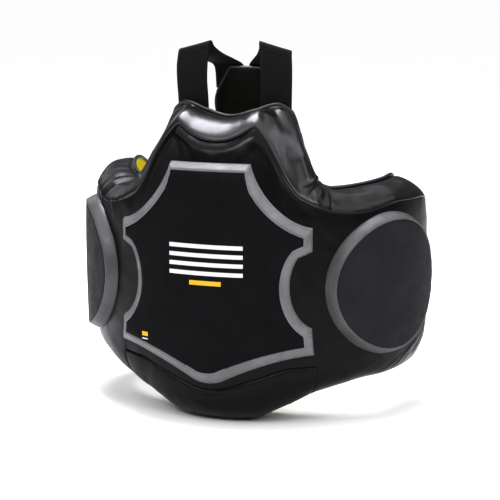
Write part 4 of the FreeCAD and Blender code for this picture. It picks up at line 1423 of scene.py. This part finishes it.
def softbox(name, place, aim, size, power):
    """Rectangular area light that points at aim."""
    light = bpy.data.lights.new(name, "AREA")
    light.shape = "RECTANGLE"
    light.size, light.size_y = size
    light.energy = power
    light.color = LAMP_COLOUR
    lamp = in_scene(name, light)
    lamp.location = place
    lamp.rotation_euler = (Vector(aim) - Vector(place)).to_track_quat("-Z", "Y").to_euler()


def build_light():
    """Dim world and soft studio lights."""
    world = bpy.data.worlds.new("studio")
    bpy.context.scene.world = world
    world.use_nodes = True
    tree = world.node_tree
    # The camera sees a white backdrop, and everything else a dimmer one.
    backdrop, dim = tree.nodes["Background"], tree.nodes.new("ShaderNodeBackground")
    for node, strength in ((backdrop, 1.0), (dim, 0.25)):
        node.inputs["Color"].default_value = (1, 1, 1, 1)
        node.inputs["Strength"].default_value = strength
    path = tree.nodes.new("ShaderNodeLightPath")
    mix = tree.nodes.new("ShaderNodeMixShader")
    tree.links.new(path.outputs["Is Camera Ray"], mix.inputs["Fac"])
    tree.links.new(dim.outputs["Background"], mix.inputs[1])
    tree.links.new(backdrop.outputs["Background"], mix.inputs[2])
    tree.links.new(mix.outputs["Shader"], tree.nodes["World Output"].inputs["Surface"])
    # A wide light from above the camera, even over the whole floor.
    sky = bpy.data.lights.new("overhead", "SUN")
    sky.energy, sky.angle = 3.1, math.radians(90)
    in_scene("overhead", sky).rotation_euler = (math.radians(22), 0, math.radians(20))
    middle = (0, 0, 0.28)
    softbox("key_box", (-0.42, 0.4, 2.2), (0, -0.05, 0.42), (1.1, 1.4), 66)
    softbox("front_box", (-0.5, -2.1, 1.85), middle, (0.9, 0.4), 20)
    softbox("left_box", (-1.9, -1.6, 0.8), middle, (0.3, 1.1), 4.5)
    softbox("right_box", (1.63, 0.5, 1.75), (0.1, 0, 0.4), (0.8, 0.8), 8)
    softbox("side_box", (1.75, -1.2, 1.25), middle, (0.6, 0.6), 9)
    softbox("back_box", (0.3, 1.5, 2.0), middle, (1.0, 0.6), 4)
    softbox("left_back_box", (-1.7, 1.2, 1.3), middle, (0.6, 0.7), 3)


def build_camera():
    """Camera at the photograph's angle."""
    data = bpy.data.cameras.new("camera")
    data.lens, data.sensor_width = CAMERA_LENS, SENSOR_WIDTH
    data.clip_start, data.clip_end = 0.05, 50
    camera = in_scene("camera", data)
    azimuth, elevation = math.radians(CAMERA_TURN), math.radians(CAMERA_TILT)
    forward = Vector((-math.sin(azimuth) * math.cos(elevation),
                      math.cos(azimuth) * math.cos(elevation), -math.sin(elevation)))
    camera.location = CAMERA_PLACE
    camera.rotation_euler = forward.to_track_quat("-Z", "Y").to_euler()
    bpy.context.scene.camera = camera


build_shell()
build_lining()
build_piping()
shield_line, shield_into = build_shield()
shield_stitches(shield_line, shield_into)
build_print()
build_targets()
build_shoulder_straps()
build_back_pad()
build_side_straps()
build_rings()
build_strap_patches()
build_stage()
build_light()
build_camera()

bpy.context.scene.view_settings.view_transform = "Standard"
bpy.context.scene.view_settings.gamma = 0.78
